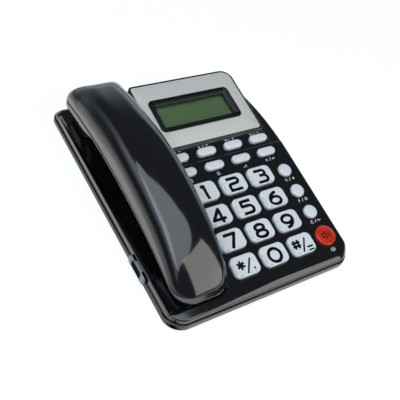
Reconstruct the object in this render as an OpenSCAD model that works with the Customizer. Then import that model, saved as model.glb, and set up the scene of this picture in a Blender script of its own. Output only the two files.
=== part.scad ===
// Corded desk telephone with a display, a large keypad and a handset on a low tray.
// Millimetres. X to the right, Y to the back, Z up from the table.

/* [Base case] */
// Width of the base
body_w = 163; // [158:1:176]
// Length of the base, front to back
body_l = 216; // [212:1:230]
// Radius of the base's front corners seen from above
corner_r = 14; // [10:1:18]
// Radius of the base's back corners seen from above
back_corner_r = 9; // [8:0.5:14]
// Round roll along the front edge
front_roll = 6; // [3:0.5:6]
// Round roll along the back edge
back_roll = 8; // [4:0.5:9]
// Wall of the upper case
wall = 2.2; // [1.6:0.1:2.6]
// How far the lower case stands out past the upper case
skirt = 0.8; // [0.4:0.1:1.2]
// Height of the seam between the two cases
seam_h = 6; // [5.5:0.25:7]
// Floor of the lower case
floor_t = 2; // [1.6:0.1:2.2]
// Gap between pieces that move or are fitted
gap = 0.3; // [0.2:0.05:0.4]
// Gap between pieces that are fixed to each other
fit = 0.1; // [0.05:0.05:0.15]

/* [Tray] */
// Height of the tray
slab_h = 11.5; // [11.5:0.25:13]
// Wall of the tray's floor
tray_wall = 1.8; // [1.4:0.1:2]
// Distance from the left side to the keypad block
tray_w = 52.4; // [51:0.2:54]
// Depth of the well under the mouth cup
well_dip = 2.5; // [1:0.25:2.5]

/* [Face] */
// Height of the face at the front edge
front_h = 12.5; // [11:0.5:14]
// Tilt of the face
face_tilt = 8; // [6:0.5:9]
// Length of the flat face before the shoulder arches down
flat_l = 103; // [96:1:108]
// Radius of the arched shoulder
arch_r = 240; // [220:5:280]

/* [Display] */
// Rise of the display hood above the face
hood_rise = 2.1; // [1.6:0.1:2.6]
// Start of the hood, along the face from the front edge
hood_y = 128.5; // [128:0.5:131]
// Length of the hood along the face
hood_l = 66.5; // [64:0.5:68]
// Distance from the hood to the right side of the base
cheek_w = 12; // [9:0.5:13]
// Corner radius at the hood's back, on the right
hood_r = 10; // [8:0.5:12]
// Corner radius at the hood's back, beside the handset
hood_left_r = 4; // [3.5:0.5:8]
// Display's middle, to the right of the base's middle
display_right = 18.7; // [18.4:0.1:19]
// Display's middle, in front of the hood's middle
display_front = 0.8; // [0:0.1:1.5]
// Black rim round the silver panel
panel_rim = 2; // [1.5:0.1:2.5]
// Thickness of the silver panel
panel_t = 0.8; // [0.6:0.1:1]
// Width of the display bezel
bezel_w = 76.4; // [74:0.2:80]
// Length of the display bezel
bezel_l = 31.8; // [30:0.2:34]
// Height of the bezel above the panel
bezel_rise = 1.2; // [0.8:0.1:1.6]
// Width of the bezel's flange past its neck
bezel_lip = 2.6; // [2:0.1:3]
// Width of the display opening
view_w = 65.5; // [62:0.5:67]
// Length of the display opening
view_l = 22; // [20:0.5:23]
// Thickness of the display window
window_t = 1.2; // [0.8:0.1:1.5]
// Thickness of the display glass
glass_t = 2.8; // [2:0.1:3]

/* [Keys] */
// Height of the keys above the face
key_rise = 2.1; // [1.8:0.1:2.6]
// Travel of a key
key_travel = 1.5; // [1:0.1:1.6]
// Width of a number key
key_w = 22; // [20:0.2:23]
// Length of a number key
key_l = 16.4; // [14:0.2:17]
// Corner radius of a number key
key_r = 4.5; // [3:0.5:6]
// Spacing of the number keys across
key_pitch_x = 26.5; // [25.5:0.1:27]
// Spacing of the number keys along the face
key_pitch_y = 21.5; // [20.5:0.1:22]
// Bottom row of number keys, along the face from the front edge
key_row_y = 22.7; // [21:0.1:24]
// Middle column of number keys, to the right of the middle
key_col_x = 15; // [14:0.1:15.5]
// Pill keys' middle, to the right of the number keys' middle
pill_right = 6.15; // [6:0.05:6.3]
// Width of a pill key
pill_w = 17; // [15:0.2:18]
// Length of a pill key
pill_l = 7.2; // [6:0.1:8]
// Spacing of the pill keys across
pill_pitch_x = 25.5; // [24.5:0.1:25.7]
// Spacing of the two rows of pill keys
pill_pitch_y = 13.9; // [12:0.1:14]
// Lower row of pill keys, along the face from the front edge
pill_row_y = 107.1; // [106:0.1:108]
// Diameter of a round side key
dot_d = 11.5; // [9:0.1:13]
// Side keys to the right of the middle
dot_x = 66; // [65:0.1:67]
// Side keys in front of the top row of number keys
dot_front = 1; // [0:0.1:2]
// Spacing of the side keys along the face
dot_pitch = 20.4; // [19:0.1:21]
// Diameter of the red key
red_d = 17; // [15:0.2:18]
// Flange that keeps a key in its hole
key_flange = 0.8; // [0.5:0.1:0.9]
// Thickness of the key flange
flange_t = 1; // [0.8:0.1:1.2]
// Thickness of the keypad mat
mat_t = 1.2; // [0.8:0.1:1.5]
// Thickness of the circuit boards
board_t = 1.6; // [1:0.1:1.6]

/* [Handset] */
// Width of the handset
hs_w = 45.5; // [44:0.5:46]
// Length of the handset
hs_l = 201; // [196:1:202]
// Handset's middle from the left side
hs_in = 28.9; // [28.1:0.1:29.1]
// Handset's middle, behind the base's middle
hs_back = 0.5; // [0:0.5:3]
// Height of the handset's back at its highest point
hs_top = 61.3; // [59:0.5:65]
// Radius of the arched back
hs_top_r = 253; // [245:1:275]
// Highest point of the back, behind the handset's middle
hs_top_y = 11.5; // [8:0.5:16]
// Height of the seam between the shells at its highest point
hs_seam = 37.4; // [36:0.1:38.5]
// Radius of the seam
hs_seam_r = 370; // [360:5:400]
// Highest point of the seam, behind the handset's middle
hs_seam_y = 15.5; // [10:0.5:18]
// Round shoulder along the back
hs_edge_r = 17; // [13:0.5:18]
// Round nose at the ear end
hs_ear_nose = 30; // [22:0.5:32]
// Round nose at the mouth end
hs_mouth_nose = 88; // [80:1:96]
// How far the nose's circle reaches past the mouth end, so that the back slopes down to the seam
hs_mouth_past = 15; // [12:0.5:17]
// Corner radius at the ear end seen from above
hs_ear_r = 7; // [6:0.5:12]
// Corner radius at the mouth end seen from above
hs_mouth_r = 16; // [14:0.5:20]
// Depth of the bottom shell along the handle
hs_low = 4.5; // [4:0.25:6]
// Wall of the handset
hs_wall = 2; // [1.6:0.1:2.2]
// Length of the ear cup
ear_l = 54; // [52:1:56]
// Length of the mouth cup
mouth_l = 50; // [48:1:54]
// Length of a cup's slope towards the handle
cup_slope = 16; // [12:0.5:18]
// How far a cup's end wall leans in
cup_lean = 4; // [3:0.5:5]
// How far a cup narrows at each side
cup_taper = 4; // [3:0.5:5]
// Diameter of the ear capsule
capsule_d = 27; // [22:1:28]
// Height of the ear capsule
capsule_h = 8; // [6:0.5:9]
// Diameter of the handset's microphone
hs_mic_d = 9.7; // [6:0.1:10]
// Height of the handset's microphone
hs_mic_h = 6.5; // [4:0.5:7]
// Length of the handset's weight
weight_l = 40; // [30:1:44]
// Width of the handset's weight
weight_w = 24; // [18:1:26]
// Height of the handset's weight
weight_h = 9; // [6:0.5:10]

/* [Hook] */
// Rise of the hook plunger when the handset lifts
hook_travel = 4; // [3:0.25:4]
// Width of the hook plunger
hook_w = 10; // [8:0.5:12]
// Length of the hook plunger
hook_l = 7; // [6.5:0.5:9]
// Hook plunger behind the base's middle
hook_y = 76; // [70:1:80]
// Outside diameter of the hook spring
spring_d = 4; // [3:0.1:4.5]
// Wire of the hook spring
spring_wire = 0.5; // [0.3:0.1:0.8]

/* [Jacks] */
// How far the handset jack stands out of the left side
jack_out = 2; // [1:0.5:3]
// Handset jack in front of the base's middle
jack_front = 55.5; // [50:0.5:70]
// Width of the handset jack's face plate
jack_plate_w = 24; // [16:1:28]
// Width of a handset plug's opening
plug_w = 7.8; // [7.7:0.1:8]
// Height of a handset plug's opening
plug_h = 5.8; // [5.6:0.1:5.9]
// Width of a line plug's opening
line_plug_w = 9.8; // [9.7:0.1:10]
// Height of a line plug's opening
line_plug_h = 6.8; // [6.6:0.1:7]
// Line jack to the right of the middle
line_x = 40; // [30:1:50]
// Depth of a plug's opening
plug_depth = 11; // [9:0.5:12]
// Wall of a jack
jack_wall = 1; // [0.8:0.1:1.1]

/* [Loudspeaker] */
// Diameter of the loudspeaker
speaker_d = 44; // [34:1:46]
// Height of the loudspeaker
speaker_h = 5; // [4:0.25:5.25]
// Loudspeaker's middle in front of the base's middle
speaker_front = 11.4; // [6:0.1:18]
// Loudspeaker's middle from the left side
speaker_in = 28; // [27.5:0.5:30]
// Number of slots over the loudspeaker
slot_count = 10; // [6:1:10]
// Spacing of the slots
slot_pitch = 4.8; // [4:0.1:5]
// Width of a slot
slot_w = 2.6; // [1.4:0.1:3]
// Length of a slot
slot_l = 30; // [18:1:34]
// Slots' left ends from the left side
slot_in = 9; // [8.5:0.1:11]

/* [Fasteners and feet] */
// Diameter of the screw bosses
boss_d = 7; // [6.5:0.5:8]
// Diameter of a screw's shank
screw_d = 2.6; // [2.2:0.1:3]
// Diameter of a screw's head
screw_head_d = 5.2; // [4.6:0.1:5.6]
// Height of a screw's head
screw_head_h = 1.2; // [0.8:0.1:1.4]
// Length of a case screw's shank
screw_l = 5.5; // [4.5:0.25:5.75]
// Diameter of a rubber foot
foot_d = 12; // [10:0.5:14]
// Height of the base above the table
foot_h = 1.5; // [1:0.1:2]
// Depth of a foot's seat in the floor
foot_seat = 0.7; // [0.5:0.1:0.9]
// Diameter of the hands-free microphone
mic_d = 6; // [5:0.5:8]
// Height of the hands-free microphone
mic_h = 2.7; // [2:0.1:3]

/* [Hidden] */
$fn = 64;

// Number keys in reading order, top row first
number_keys = ["key_1", "key_2", "key_3", "key_4", "key_5", "key_6", "key_7", "key_8", "key_9",
    "key_star", "key_0", "key_hash"];
// Pill keys in reading order, far row first
function_keys = ["function_key_1", "function_key_2", "function_key_3", "function_key_4",
    "function_key_5", "function_key_6", "function_key_7", "function_key_8"];
// Round keys at the right, far one first
side_keys = ["side_key_1", "side_key_2", "side_key_3"];

// Colours as they look
black = [0.05, 0.05, 0.06];
silver = [0.75, 0.77, 0.78];
pale = [0.82, 0.84, 0.86];
red = [0.80, 0.22, 0.12];
lcd_green = [0.30, 0.38, 0.30];
green_board = [0.10, 0.35, 0.18];
steel = [0.62, 0.63, 0.65];
grey_rubber = [0.30, 0.30, 0.32];
clear_grey = [0.70, 0.72, 0.75];

// The jack stands out at the left, so the case sits this far right of the frame's middle
case_x = jack_out / 2;
left_x = case_x - body_w / 2;
right_x = case_x + body_w / 2;
front_y = -body_l / 2;
back_y = body_l / 2;
// Taller than anything, for cuts and clips
tall = 90;
// A small step past a face, so that a cut leaves no skin
past = 1;

// Heights inside the base
floor_top = foot_h + floor_t;
tray_floor = slab_h;
tray_ceiling = tray_floor - tray_wall;
well_floor = tray_floor - well_dip;

// Keypad block
block_x = left_x + tray_w;
hood_right = right_x - cheek_w;

// Layers under the face, down from its surface
flange_top = -wall - gap;
flange_low = flange_top - flange_t;
mat_top = flange_low - key_travel - gap;
mat_low = mat_top - mat_t;
board_top = mat_low - fit;
board_low = board_top - board_t;

// Layers under the display, up from the face
panel_low = hood_rise - panel_t;
neck_past = 0.8;
neck_low = hood_rise - wall - neck_past;
window_low = neck_low - fit - window_t;
glass_low = window_low - fit - glass_t;
lcd_board_low = glass_low - fit - board_t;
display_x = case_x + display_right;
display_y = hood_y + hood_l / 2 - display_front;
neck_w = bezel_w - 2 * bezel_lip;
neck_l = bezel_l - 2 * bezel_lip;
// The window reaches this far under the bezel's neck, and the display's board this far past the bezel
window_lip = 2;
lcd_board_lip = 3;
window_w = view_w + 2 * window_lip;
window_l = view_l + 2 * window_lip;
lcd_board_w = bezel_w + 2 * lcd_board_lip;
lcd_board_l = bezel_l + 2 * lcd_board_lip;
// Corner radii of the display's pieces
bezel_r = 4;
neck_r = 2;
view_r = 1;
panel_r = 2.6;
hood_front_r = 1;

// Shoulder arch: the point where the flat face ends, and the arch's centre
flat_end = [front_y + flat_l * cos(face_tilt), front_h + flat_l * sin(face_tilt)];
face_normal = [-sin(face_tilt), cos(face_tilt)];
face_along = [cos(face_tilt), sin(face_tilt)];
arch_centre = flat_end - arch_r * face_normal;

// Handset
hs_x = left_x + hs_in;
hs_mid_y = hs_back;
hs_y0 = hs_mid_y - hs_l / 2;
hs_y1 = hs_mid_y + hs_l / 2;
ear_bottom = tray_floor + gap;
mouth_bottom = well_floor + gap;
hs_top_centre = [hs_mid_y + hs_top_y, hs_top - hs_top_r];
hs_seam_centre = [hs_mid_y + hs_seam_y, hs_seam - hs_seam_r];
// Flat bottoms of the cups, and what sits on them
ear_low = [hs_y1 - ear_l + cup_slope, hs_y1 - cup_lean];
mouth_low = [hs_y0 + cup_lean, hs_y0 + mouth_l - cup_slope];
ear_y = (ear_low[0] + ear_low[1]) / 2;
mouth_y = (mouth_low[0] + mouth_low[1]) / 2;
hs_mic_y = mouth_low[1] - hs_wall - hs_mic_d / 2 - past;
// The well is this much wider than the mouth cup's bottom, so that the cup's slope clears its edge
well_gap = gap + well_dip * cup_slope / (hs_seam + past - mouth_bottom);
well_r = 1.5;
capsule_low = ear_bottom + hs_wall + fit;
hs_mic_low = mouth_bottom + hs_wall + fit;
// Flank of the back starts a little above the arch, so that the two cut cleanly
hs_crown = 0.6;
// Screws of the handset, in the handle just past each cup
hs_screw_in = 7;
hs_screw_places = [hs_y0 + mouth_l + hs_screw_in, hs_y1 - ear_l - hs_screw_in];
// The weight lies on the handle's floor, with its middle under the top of the seam's arch
weight_y = hs_seam_centre[0] - boss_d;
weight_low = hs_seam - hs_low + hs_wall + fit;

// Fasteners
screw_in = [11, 8.5, 15];
screw_places = [[left_x + screw_in[0], front_y + screw_in[1]], [right_x - screw_in[0], front_y + screw_in[1]],
    [left_x + screw_in[0], back_y - screw_in[2]], [right_x - screw_in[0], back_y - screw_in[2]]];
foot_in = [24, 21];
foot_places = [[left_x + foot_in[0], front_y + foot_in[1]], [right_x - foot_in[0], front_y + foot_in[1]],
    [left_x + foot_in[0], back_y - foot_in[1]], [right_x - foot_in[0], back_y - foot_in[1]]];
corner_signs = [[-1, -1], [1, -1], [-1, 1], [1, 1]];
// The main board's posts stand where four number keys meet
board_post_places = [for (row = [0.5, 2.5], side = [-0.5, 0.5])
    [case_x + key_col_x + side * key_pitch_x, key_row_y + row * key_pitch_y]];
post_d = 4;
pilot_d = screw_d - 0.8;
post_bite = 3.2;
// Tongue of the lower case inside the seam
tongue_t = 1.2;
tongue_rise = 1.5;
tongue_in = skirt + wall + gap + tongue_t;
// Front edge of the main board along the face, and how far it runs past the pill keys
board_front = 12.5;
board_back = 6;
board_r = 8;
// Chip and supply under the main board: place on the face, then width, length and height
chip_place = [case_x + 20, 58];
chip_size = [18, 12, 2];
supply_place = [case_x + 44, 92];
supply_size = [16, 14, 6];
// Loudspeaker's rim and magnet
speaker_rim_h = 2.5;
magnet_d = 24;
// Hook plunger's flange and roof, and the switch beside it
hook_flange = 1.5;
hook_roof = 1.2;
switch_size = [8, 8, 4.5];
sound_hole_d = 2;
ear_hole_r = 6;
mic_place = [case_x + 30, front_y + 9];
speaker_place = [left_x + speaker_in, -speaker_front];
line_place_x = case_x + line_x;
jack_y = -jack_front;

function seam_height(y) = hs_seam_centre[1] + sqrt(pow(hs_seam_r, 2) - pow(y - hs_seam_centre[0], 2));
// Height of a handset screw's seat inside the bottom shell
function screw_seat(y) = seam_height(y) - hs_low + screw_head_h + hs_screw_sink;
hs_screw_sink = 0.6;
function unit(v) = v / norm(v);

// Rounded rectangle about the origin. The radii are front left, front right, back right and back left
module round_corners(w, l, r) {
    x = w / 2;
    y = l / 2;
    polygon([[-x + r[0], -y], [x - r[1], -y], [x, -y + r[1]], [x, y - r[2]],
        [x - r[2], y], [-x + r[3], y], [-x, y - r[3]], [-x, -y + r[0]]]);
    translate([-x + r[0], -y + r[0]]) circle(r[0]);
    translate([x - r[1], -y + r[1]]) circle(r[1]);
    translate([x - r[2], y - r[2]]) circle(r[2]);
    translate([-x + r[3], y - r[3]]) circle(r[3]);
}

// The same with one radius at the front and one at the back
module round_rect(w, l, r_front, r_back) {
    round_corners(w, l, [r_front, r_front, r_back, r_back]);
}

// Extrude a side view, drawn as Y and Z, along X
module along_x(x0, x1) {
    translate([x0, 0, 0]) rotate([90, 0, 90]) linear_extrude(x1 - x0) children();
}

// Lie on the face: x as in the frame, y up the face from the front edge, z out of the face
module on_face(x = 0, y = 0, z = 0) {
    translate([0, front_y, front_h]) rotate([face_tilt, 0, 0]) translate([x, y, z]) children();
}

// Base case outline seen from above, drawn in by inset
module case_plan(inset) {
    translate([case_x, 0])
        round_rect(body_w - 2 * inset, body_l - 2 * inset, corner_r - inset, back_corner_r - inset);
}

// Side view of the rolled front and back edges, a little inside the outline, drawn in by inset
module roll_side(inset) {
    front = [front_y + skirt + fit + front_roll, front_h - front_roll];
    back = [back_y - skirt - fit - back_roll, block_back_h - back_roll];
    translate([front[0], -tall]) square([back[0] - front[0], 2 * tall]);
    translate(front) circle(front_roll - inset);
    translate(back) circle(back_roll - inset);
    translate([front[0] - front_roll + inset, -tall]) square([body_l / 2, tall + front[1]]);
    translate([back[0] + back_roll - inset - body_l / 2, -tall]) square([body_l / 2, tall + back[1]]);
}
// Height of the arched shoulder at the back edge
block_back_h = arch_centre[1] + sqrt(pow(arch_r, 2) - pow(back_y - skirt - back_roll - arch_centre[0], 2));

// Side view of the keypad block: flat face, then the arched shoulder, drawn in by inset
module block_side(inset) {
    top = arch_centre + (arch_r - inset) * face_normal;
    low_front = top - body_l * face_along;
    polygon([low_front, top, arch_centre, [low_front[0], arch_centre[1]]]);
    intersection() {
        translate(arch_centre) circle(arch_r - inset, $fn = 360);
        polygon([arch_centre, arch_centre + 2 * arch_r * face_normal,
            arch_centre + [2 * arch_r, 2 * arch_r], arch_centre + [2 * arch_r, 0]]);
    }
}

// Outline of the display hood on the face, drawn in by inset
module hood_outline(inset) {
    width = hood_right - block_x - 2 * inset;
    translate([block_x + inset + width / 2, hood_y + hood_l / 2])
        round_corners(width, hood_l - 2 * inset,
            [hood_front_r, hood_front_r, hood_r - inset, hood_left_r - inset]);
}

// The flat face runs on this far under the hood
hood_run = 10;

// Outer form of the upper case above a height, drawn in by inset
module case_form(inset, low) {
    tray_top = inset > 0 ? tray_ceiling : slab_h;
    intersection() {
        translate([0, 0, low]) linear_extrude(tall) case_plan(skirt + inset);
        along_x(left_x - past, right_x + past) roll_side(inset);
        union() {
            translate([left_x, front_y, low]) cube([body_w, body_l, tray_top - low]);
            along_x(block_x + inset, right_x + past) block_side(inset);
            on_face(block_x + inset + fit, flat_l - hood_run, -tall)
                cube([hood_right - block_x - 2 * inset - fit, hood_y + 2 * hood_run - flat_l, tall - inset]);
            on_face(0, 0, -tall) linear_extrude(tall + hood_rise - inset) hood_outline(inset);
        }
    }
}

// Key outlines, grown by grow
module number_outline(grow) {
    round_rect(key_w + 2 * grow, key_l + 2 * grow, key_r + grow, key_r + grow);
}
module pill_outline(grow) {
    square([pill_w - pill_l, pill_l + 2 * grow], center = true);
    for (side = [-1, 1]) translate([side * (pill_w - pill_l) / 2, 0]) circle(d = pill_l + 2 * grow);
}
module dot_outline(grow) {
    circle(d = dot_d + 2 * grow);
}
module red_outline(grow) {
    circle(d = red_d + 2 * grow);
}

// Places of the keys on the face
function number_place(i) =
    [case_x + key_col_x + (i % 3 - 1) * key_pitch_x, key_row_y + (3 - floor(i / 3)) * key_pitch_y];
function pill_place(i) =
    [case_x + key_col_x + pill_right + (i % 4 - 1.5) * pill_pitch_x,
        pill_row_y + (1 - floor(i / 4)) * pill_pitch_y];
function dot_place(i) = [case_x + dot_x, key_row_y + key_pitch_y * 3 - dot_front - i * dot_pitch];
red_place = [case_x + dot_x, key_row_y];

// One key: a cap through the face with a flange under it. The two children are the cap and the flange
module key_at(place) {
    on_face(place[0], place[1], flange_low) linear_extrude(key_rise - flange_low) children(0);
    on_face(place[0], place[1], flange_low) linear_extrude(flange_t) children(1);
}
module number_key(i) {
    color(pale) key_at(number_place(i)) {
        number_outline(0);
        number_outline(key_flange);
    }
}
module function_key(i) {
    color(pale) key_at(pill_place(i)) {
        pill_outline(0);
        pill_outline(key_flange);
    }
}
module side_key(i) {
    color(pale) key_at(dot_place(i)) {
        dot_outline(0);
        dot_outline(key_flange);
    }
}
module red_key() {
    color(red) key_at(red_place) {
        red_outline(0);
        red_outline(key_flange);
    }
}

// All key outlines on the face, grown by grow
module all_outlines(grow) {
    for (i = [0:11]) translate(number_place(i)) number_outline(grow);
    for (i = [0:7]) translate(pill_place(i)) pill_outline(grow);
    for (i = [0:2]) translate(dot_place(i)) dot_outline(grow);
    translate(red_place) red_outline(grow);
}

// Holes for all keys through the face, and the room for the pill keys' flanges under it
module key_holes() {
    on_face(0, 0, -wall - past) linear_extrude(wall + 2 * past) all_outlines(gap);
    on_face(0, 0, mat_top) linear_extrude(-wall - mat_top)
        for (i = [0:7]) translate(pill_place(i)) pill_outline(key_flange + gap);
}

// Space of the handset jack in the case's side, grown by grow
module jack_space(grow) {
    width = plug_w + 2 * jack_wall + 2 * grow;
    height = plug_h + 2 * jack_wall + 2 * grow;
    translate([left_x - past, jack_y - width / 2, jack_low - grow])
        cube([past + plug_depth + jack_wall + grow, width, height]);
}
// The jack lies midway between the bottom and the tray
jack_low = (foot_h + slab_h - plug_h) / 2 - jack_wall;

// Space of the line jack through the case's back, grown by grow
module line_space(grow) {
    width = line_plug_w + 2 * jack_wall + 2 * grow;
    height = line_plug_h + 2 * jack_wall + 2 * grow;
    depth = plug_depth + jack_wall + grow;
    translate([line_place_x - width / 2, back_y - skirt - depth, floor_top + fit - grow])
        cube([width, depth + (grow > 0 ? skirt + past : 0), height]);
}

// Outline of the mouth cup's well, seen from above
module well_plan(grow) {
    translate([hs_x, mouth_y])
        round_rect(hs_w - 2 * cup_taper + 2 * grow, mouth_low[1] - mouth_low[0] + 2 * grow, well_r, well_r);
}

// Upper case
module upper_case() {
    color(black) difference() {
        union() {
            difference() {
                case_form(0, seam_h + gap);
                difference() {
                    case_form(wall, seam_h - past);
                    well_shell();
                }
            }
            screw_bosses();
            board_posts();
            lcd_posts();
        }
        translate([0, 0, well_floor]) linear_extrude(tall) well_plan(well_gap);
        key_holes();
        display_cut();
        speaker_slots();
        screw_pilots();
        translate([hs_x, hook_y, 0]) linear_extrude(tall)
            square([hook_w + 2 * gap, hook_l + 2 * gap], center = true);
        jack_space(gap);
        line_space(gap);
    }
}

// Walls and floor of the well, hanging under the tray
module well_shell() {
    translate([0, 0, well_floor - tray_wall]) linear_extrude(tall) well_plan(well_gap + tray_wall);
}

// Bosses that the case screws bite into
module screw_bosses() {
    intersection() {
        case_form(wall / 2, floor_top + fit);
        for (place = screw_places) translate(place) cylinder(d = boss_d, h = tall);
    }
}
module screw_pilots() {
    for (place = screw_places) translate([place[0], place[1], 0])
        cylinder(d = screw_d + 2 * fit, h = foot_h + screw_head_h + screw_l + past / 2);
}

// Posts under the face that the main board is screwed to
module board_posts() {
    for (place = board_post_places) on_face(place[0], place[1], board_top + fit) difference() {
        cylinder(d = post_d, h = -board_top - wall / 2);
        translate([0, 0, -past]) cylinder(d = pilot_d, h = past + post_bite);
    }
}

// Posts under the hood that the display board rests on
module lcd_posts() {
    for (side = corner_signs)
        on_face(display_x + side[0] * (lcd_board_w - post_d) / 2,
            display_y + side[1] * (lcd_board_l - post_d) / 2, lcd_board_low + board_t + fit)
            cylinder(d = post_d, h = hood_rise - panel_t - wall / 2 - lcd_board_low - board_t);
}

// Seat of the silver panel and the hole for the bezel's neck
module display_cut() {
    on_face(0, 0, panel_low - fit) linear_extrude(tall) panel_outline(fit);
    on_face(display_x, display_y, -wall - past) linear_extrude(tall)
        round_rect(neck_w + 2 * fit, neck_l + 2 * fit, neck_r, neck_r);
}

// Outline of the silver panel on the face
module panel_outline(grow) {
    width = hood_right - block_x - 2 * panel_rim + 2 * grow;
    length = hood_l - 2 * panel_rim + 2 * grow;
    translate([(block_x + hood_right) / 2, hood_y + hood_l / 2])
        round_corners(width, length,
            [panel_r, panel_r, hood_r - panel_rim + grow, hood_left_r - panel_rim + grow]);
}

// Slots in the tray over the loudspeaker
module speaker_slots() {
    for (i = [0:slot_count - 1])
        translate([left_x + slot_in, speaker_place[1] + (i - (slot_count - 1) / 2) * slot_pitch - slot_w / 2,
            tray_ceiling - past]) cube([slot_l, slot_w, tall]);
}

// Lower case: a shallow pan with a tongue inside the seam
module lower_case() {
    color(black) difference() {
        union() {
            translate([0, 0, foot_h]) linear_extrude(floor_t) case_plan(0);
            translate([0, 0, foot_h]) linear_extrude(seam_h - foot_h) difference() {
                case_plan(0);
                case_plan(skirt + wall);
            }
            translate([0, 0, floor_top]) linear_extrude(seam_h + tongue_rise - floor_top) difference() {
                case_plan(tongue_in - tongue_t);
                case_plan(tongue_in);
            }
        }
        for (place = screw_places) translate([place[0], place[1], 0]) {
            cylinder(d = screw_d + 2 * gap, h = tall);
            cylinder(d = screw_head_d + 2 * gap, h = foot_h + screw_head_h);
            translate([0, 0, floor_top]) cylinder(d = boss_d + 2 * gap, h = tall);
        }
        for (place = foot_places) translate([place[0], place[1], 0])
            cylinder(d = foot_d + 2 * fit, h = foot_h + foot_seat);
        translate([mic_place[0], mic_place[1], 0]) cylinder(d = sound_hole_d, h = tall);
        jack_space(fit);
        line_space(fit);
    }
}

// Silver panel
module display_panel() {
    color(silver) difference() {
        on_face(0, 0, panel_low) linear_extrude(panel_t) panel_outline(0);
        on_face(display_x, display_y, 0) linear_extrude(tall)
            round_rect(neck_w + 2 * fit, neck_l + 2 * fit, neck_r, neck_r);
    }
}

// Bezel: a flange on the panel and a neck through it
module display_bezel() {
    color(black) difference() {
        union() {
            on_face(display_x, display_y, hood_rise + fit) linear_extrude(bezel_rise)
                round_rect(bezel_w, bezel_l, bezel_r, bezel_r);
            on_face(display_x, display_y, neck_low) linear_extrude(hood_rise + fit + bezel_rise - neck_low)
                round_rect(neck_w, neck_l, neck_r, neck_r);
        }
        on_face(display_x, display_y, neck_low - past) linear_extrude(tall)
            round_rect(view_w, view_l, view_r, view_r);
    }
}

// Clear window under the bezel
module display_window() {
    color(clear_grey) on_face(display_x, display_y, window_low)
        linear_extrude(window_t) round_rect(window_w, window_l, view_r, view_r);
}

// Display glass
module lcd_glass() {
    color(lcd_green) on_face(display_x, display_y, glass_low)
        linear_extrude(glass_t) round_rect(window_w, window_l, view_r, view_r);
}

// Display board, hung on the hood's posts
module lcd_board() {
    color(green_board) on_face(display_x, display_y, lcd_board_low)
        linear_extrude(board_t) round_rect(lcd_board_w, lcd_board_l, view_r, view_r);
}

// Soft mat under the keys
module keypad_mat() {
    color(grey_rubber) difference() {
        on_face(0, 0, mat_low) linear_extrude(mat_t) board_outline(gap);
        board_holes(post_d + 2 * gap);
    }
}
module board_outline(inset) {
    x0 = block_x + wall + gap + inset;
    x1 = right_x - tongue_in - gap - inset;
    y0 = board_front + inset;
    y1 = pill_row_y + pill_pitch_y + board_back - inset;
    translate([(x0 + x1) / 2, (y0 + y1) / 2]) round_rect(x1 - x0, y1 - y0, board_r, view_r);
}
module board_holes(d) {
    for (place = board_post_places) on_face(place[0], place[1], board_low - past)
        cylinder(d = d, h = -board_low);
}

// Main board, screwed to the posts under the face
module main_board() {
    color(green_board) {
        difference() {
            on_face(0, 0, board_low) linear_extrude(board_t) board_outline(0);
            board_holes(screw_d);
        }
        board_block(chip_place, chip_size);
        board_block(supply_place, supply_size);
    }
}

module board_block(place, size) {
    on_face(place[0] - size[0] / 2, place[1] - size[1] / 2, board_low - size[2]) cube(size);
}

// Screws that hold the main board
module board_screws() {
    color(steel) for (place = board_post_places) on_face(place[0], place[1], board_low - fit) {
        translate([0, 0, -screw_head_h]) cylinder(d = screw_head_d, h = screw_head_h);
        translate([0, 0, -fit]) cylinder(d = pilot_d - 2 * fit, h = board_t + post_bite);
    }
}

// Slim loudspeaker under the slots: frame and magnet
module loudspeaker() {
    color(grey_rubber) translate([speaker_place[0], speaker_place[1], 0]) {
        translate([0, 0, tray_ceiling - fit - speaker_rim_h]) cylinder(d = speaker_d, h = speaker_rim_h);
        translate([0, 0, tray_ceiling - fit - speaker_h]) cylinder(d = magnet_d, h = speaker_h);
    }
}

// Hands-free microphone over its hole in the floor
module handsfree_microphone() {
    color(steel) translate([mic_place[0], mic_place[1], floor_top + fit]) cylinder(d = mic_d, h = mic_h);
}

// Hook plunger, held down by the ear cup, with a bore for its spring
module hook_plunger() {
    color(pale) translate([hs_x, hook_y, 0]) difference() {
        union() {
            translate([0, 0, hook_low]) linear_extrude(tray_floor - hook_low)
                square([hook_w, hook_l], center = true);
            translate([0, 0, hook_low]) linear_extrude(flange_t)
                square([hook_w + 2 * hook_flange, hook_l + 2 * hook_flange], center = true);
        }
        translate([0, 0, hook_low - past])
            cylinder(d = spring_d + 2 * gap, h = tray_floor - hook_low - hook_roof + past);
    }
}
hook_low = floor_top + gap;

// Hook spring, stood on the floor inside the plunger
module hook_spring() {
    color(steel) translate([hs_x, hook_y, floor_top + fit]) difference() {
        cylinder(d = spring_d, h = tray_floor - hook_roof - gap - floor_top - fit);
        translate([0, 0, -past]) cylinder(d = spring_d - 2 * spring_wire, h = tall);
    }
}

// Hook switch beside the plunger
module hook_switch() {
    beside = hs_x + hook_w / 2 + hook_flange + gap;
    color(black) translate([beside, hook_y - switch_size[1] / 2, floor_top + fit]) cube(switch_size);
}

// Handset jack in the left side
module handset_jack() {
    plate_h = plug_h + 2 * jack_wall;
    color(clear_grey) difference() {
        union() {
            jack_space(0);
            translate([left_x - jack_out, jack_y - jack_plate_w / 2, jack_low])
                cube([jack_out - fit, jack_plate_w, plate_h]);
        }
        translate([left_x - jack_out - past, jack_y - plug_w / 2, jack_low + jack_wall])
            cube([plug_depth + jack_out + past, plug_w, plug_h]);
    }
}

// Line jack in the back
module line_jack() {
    color(black) difference() {
        line_space(0);
        translate([line_place_x - line_plug_w / 2, back_y - skirt - plug_depth, floor_top + fit + jack_wall])
            cube([line_plug_w, plug_depth + past, line_plug_h]);
    }
}

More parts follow.
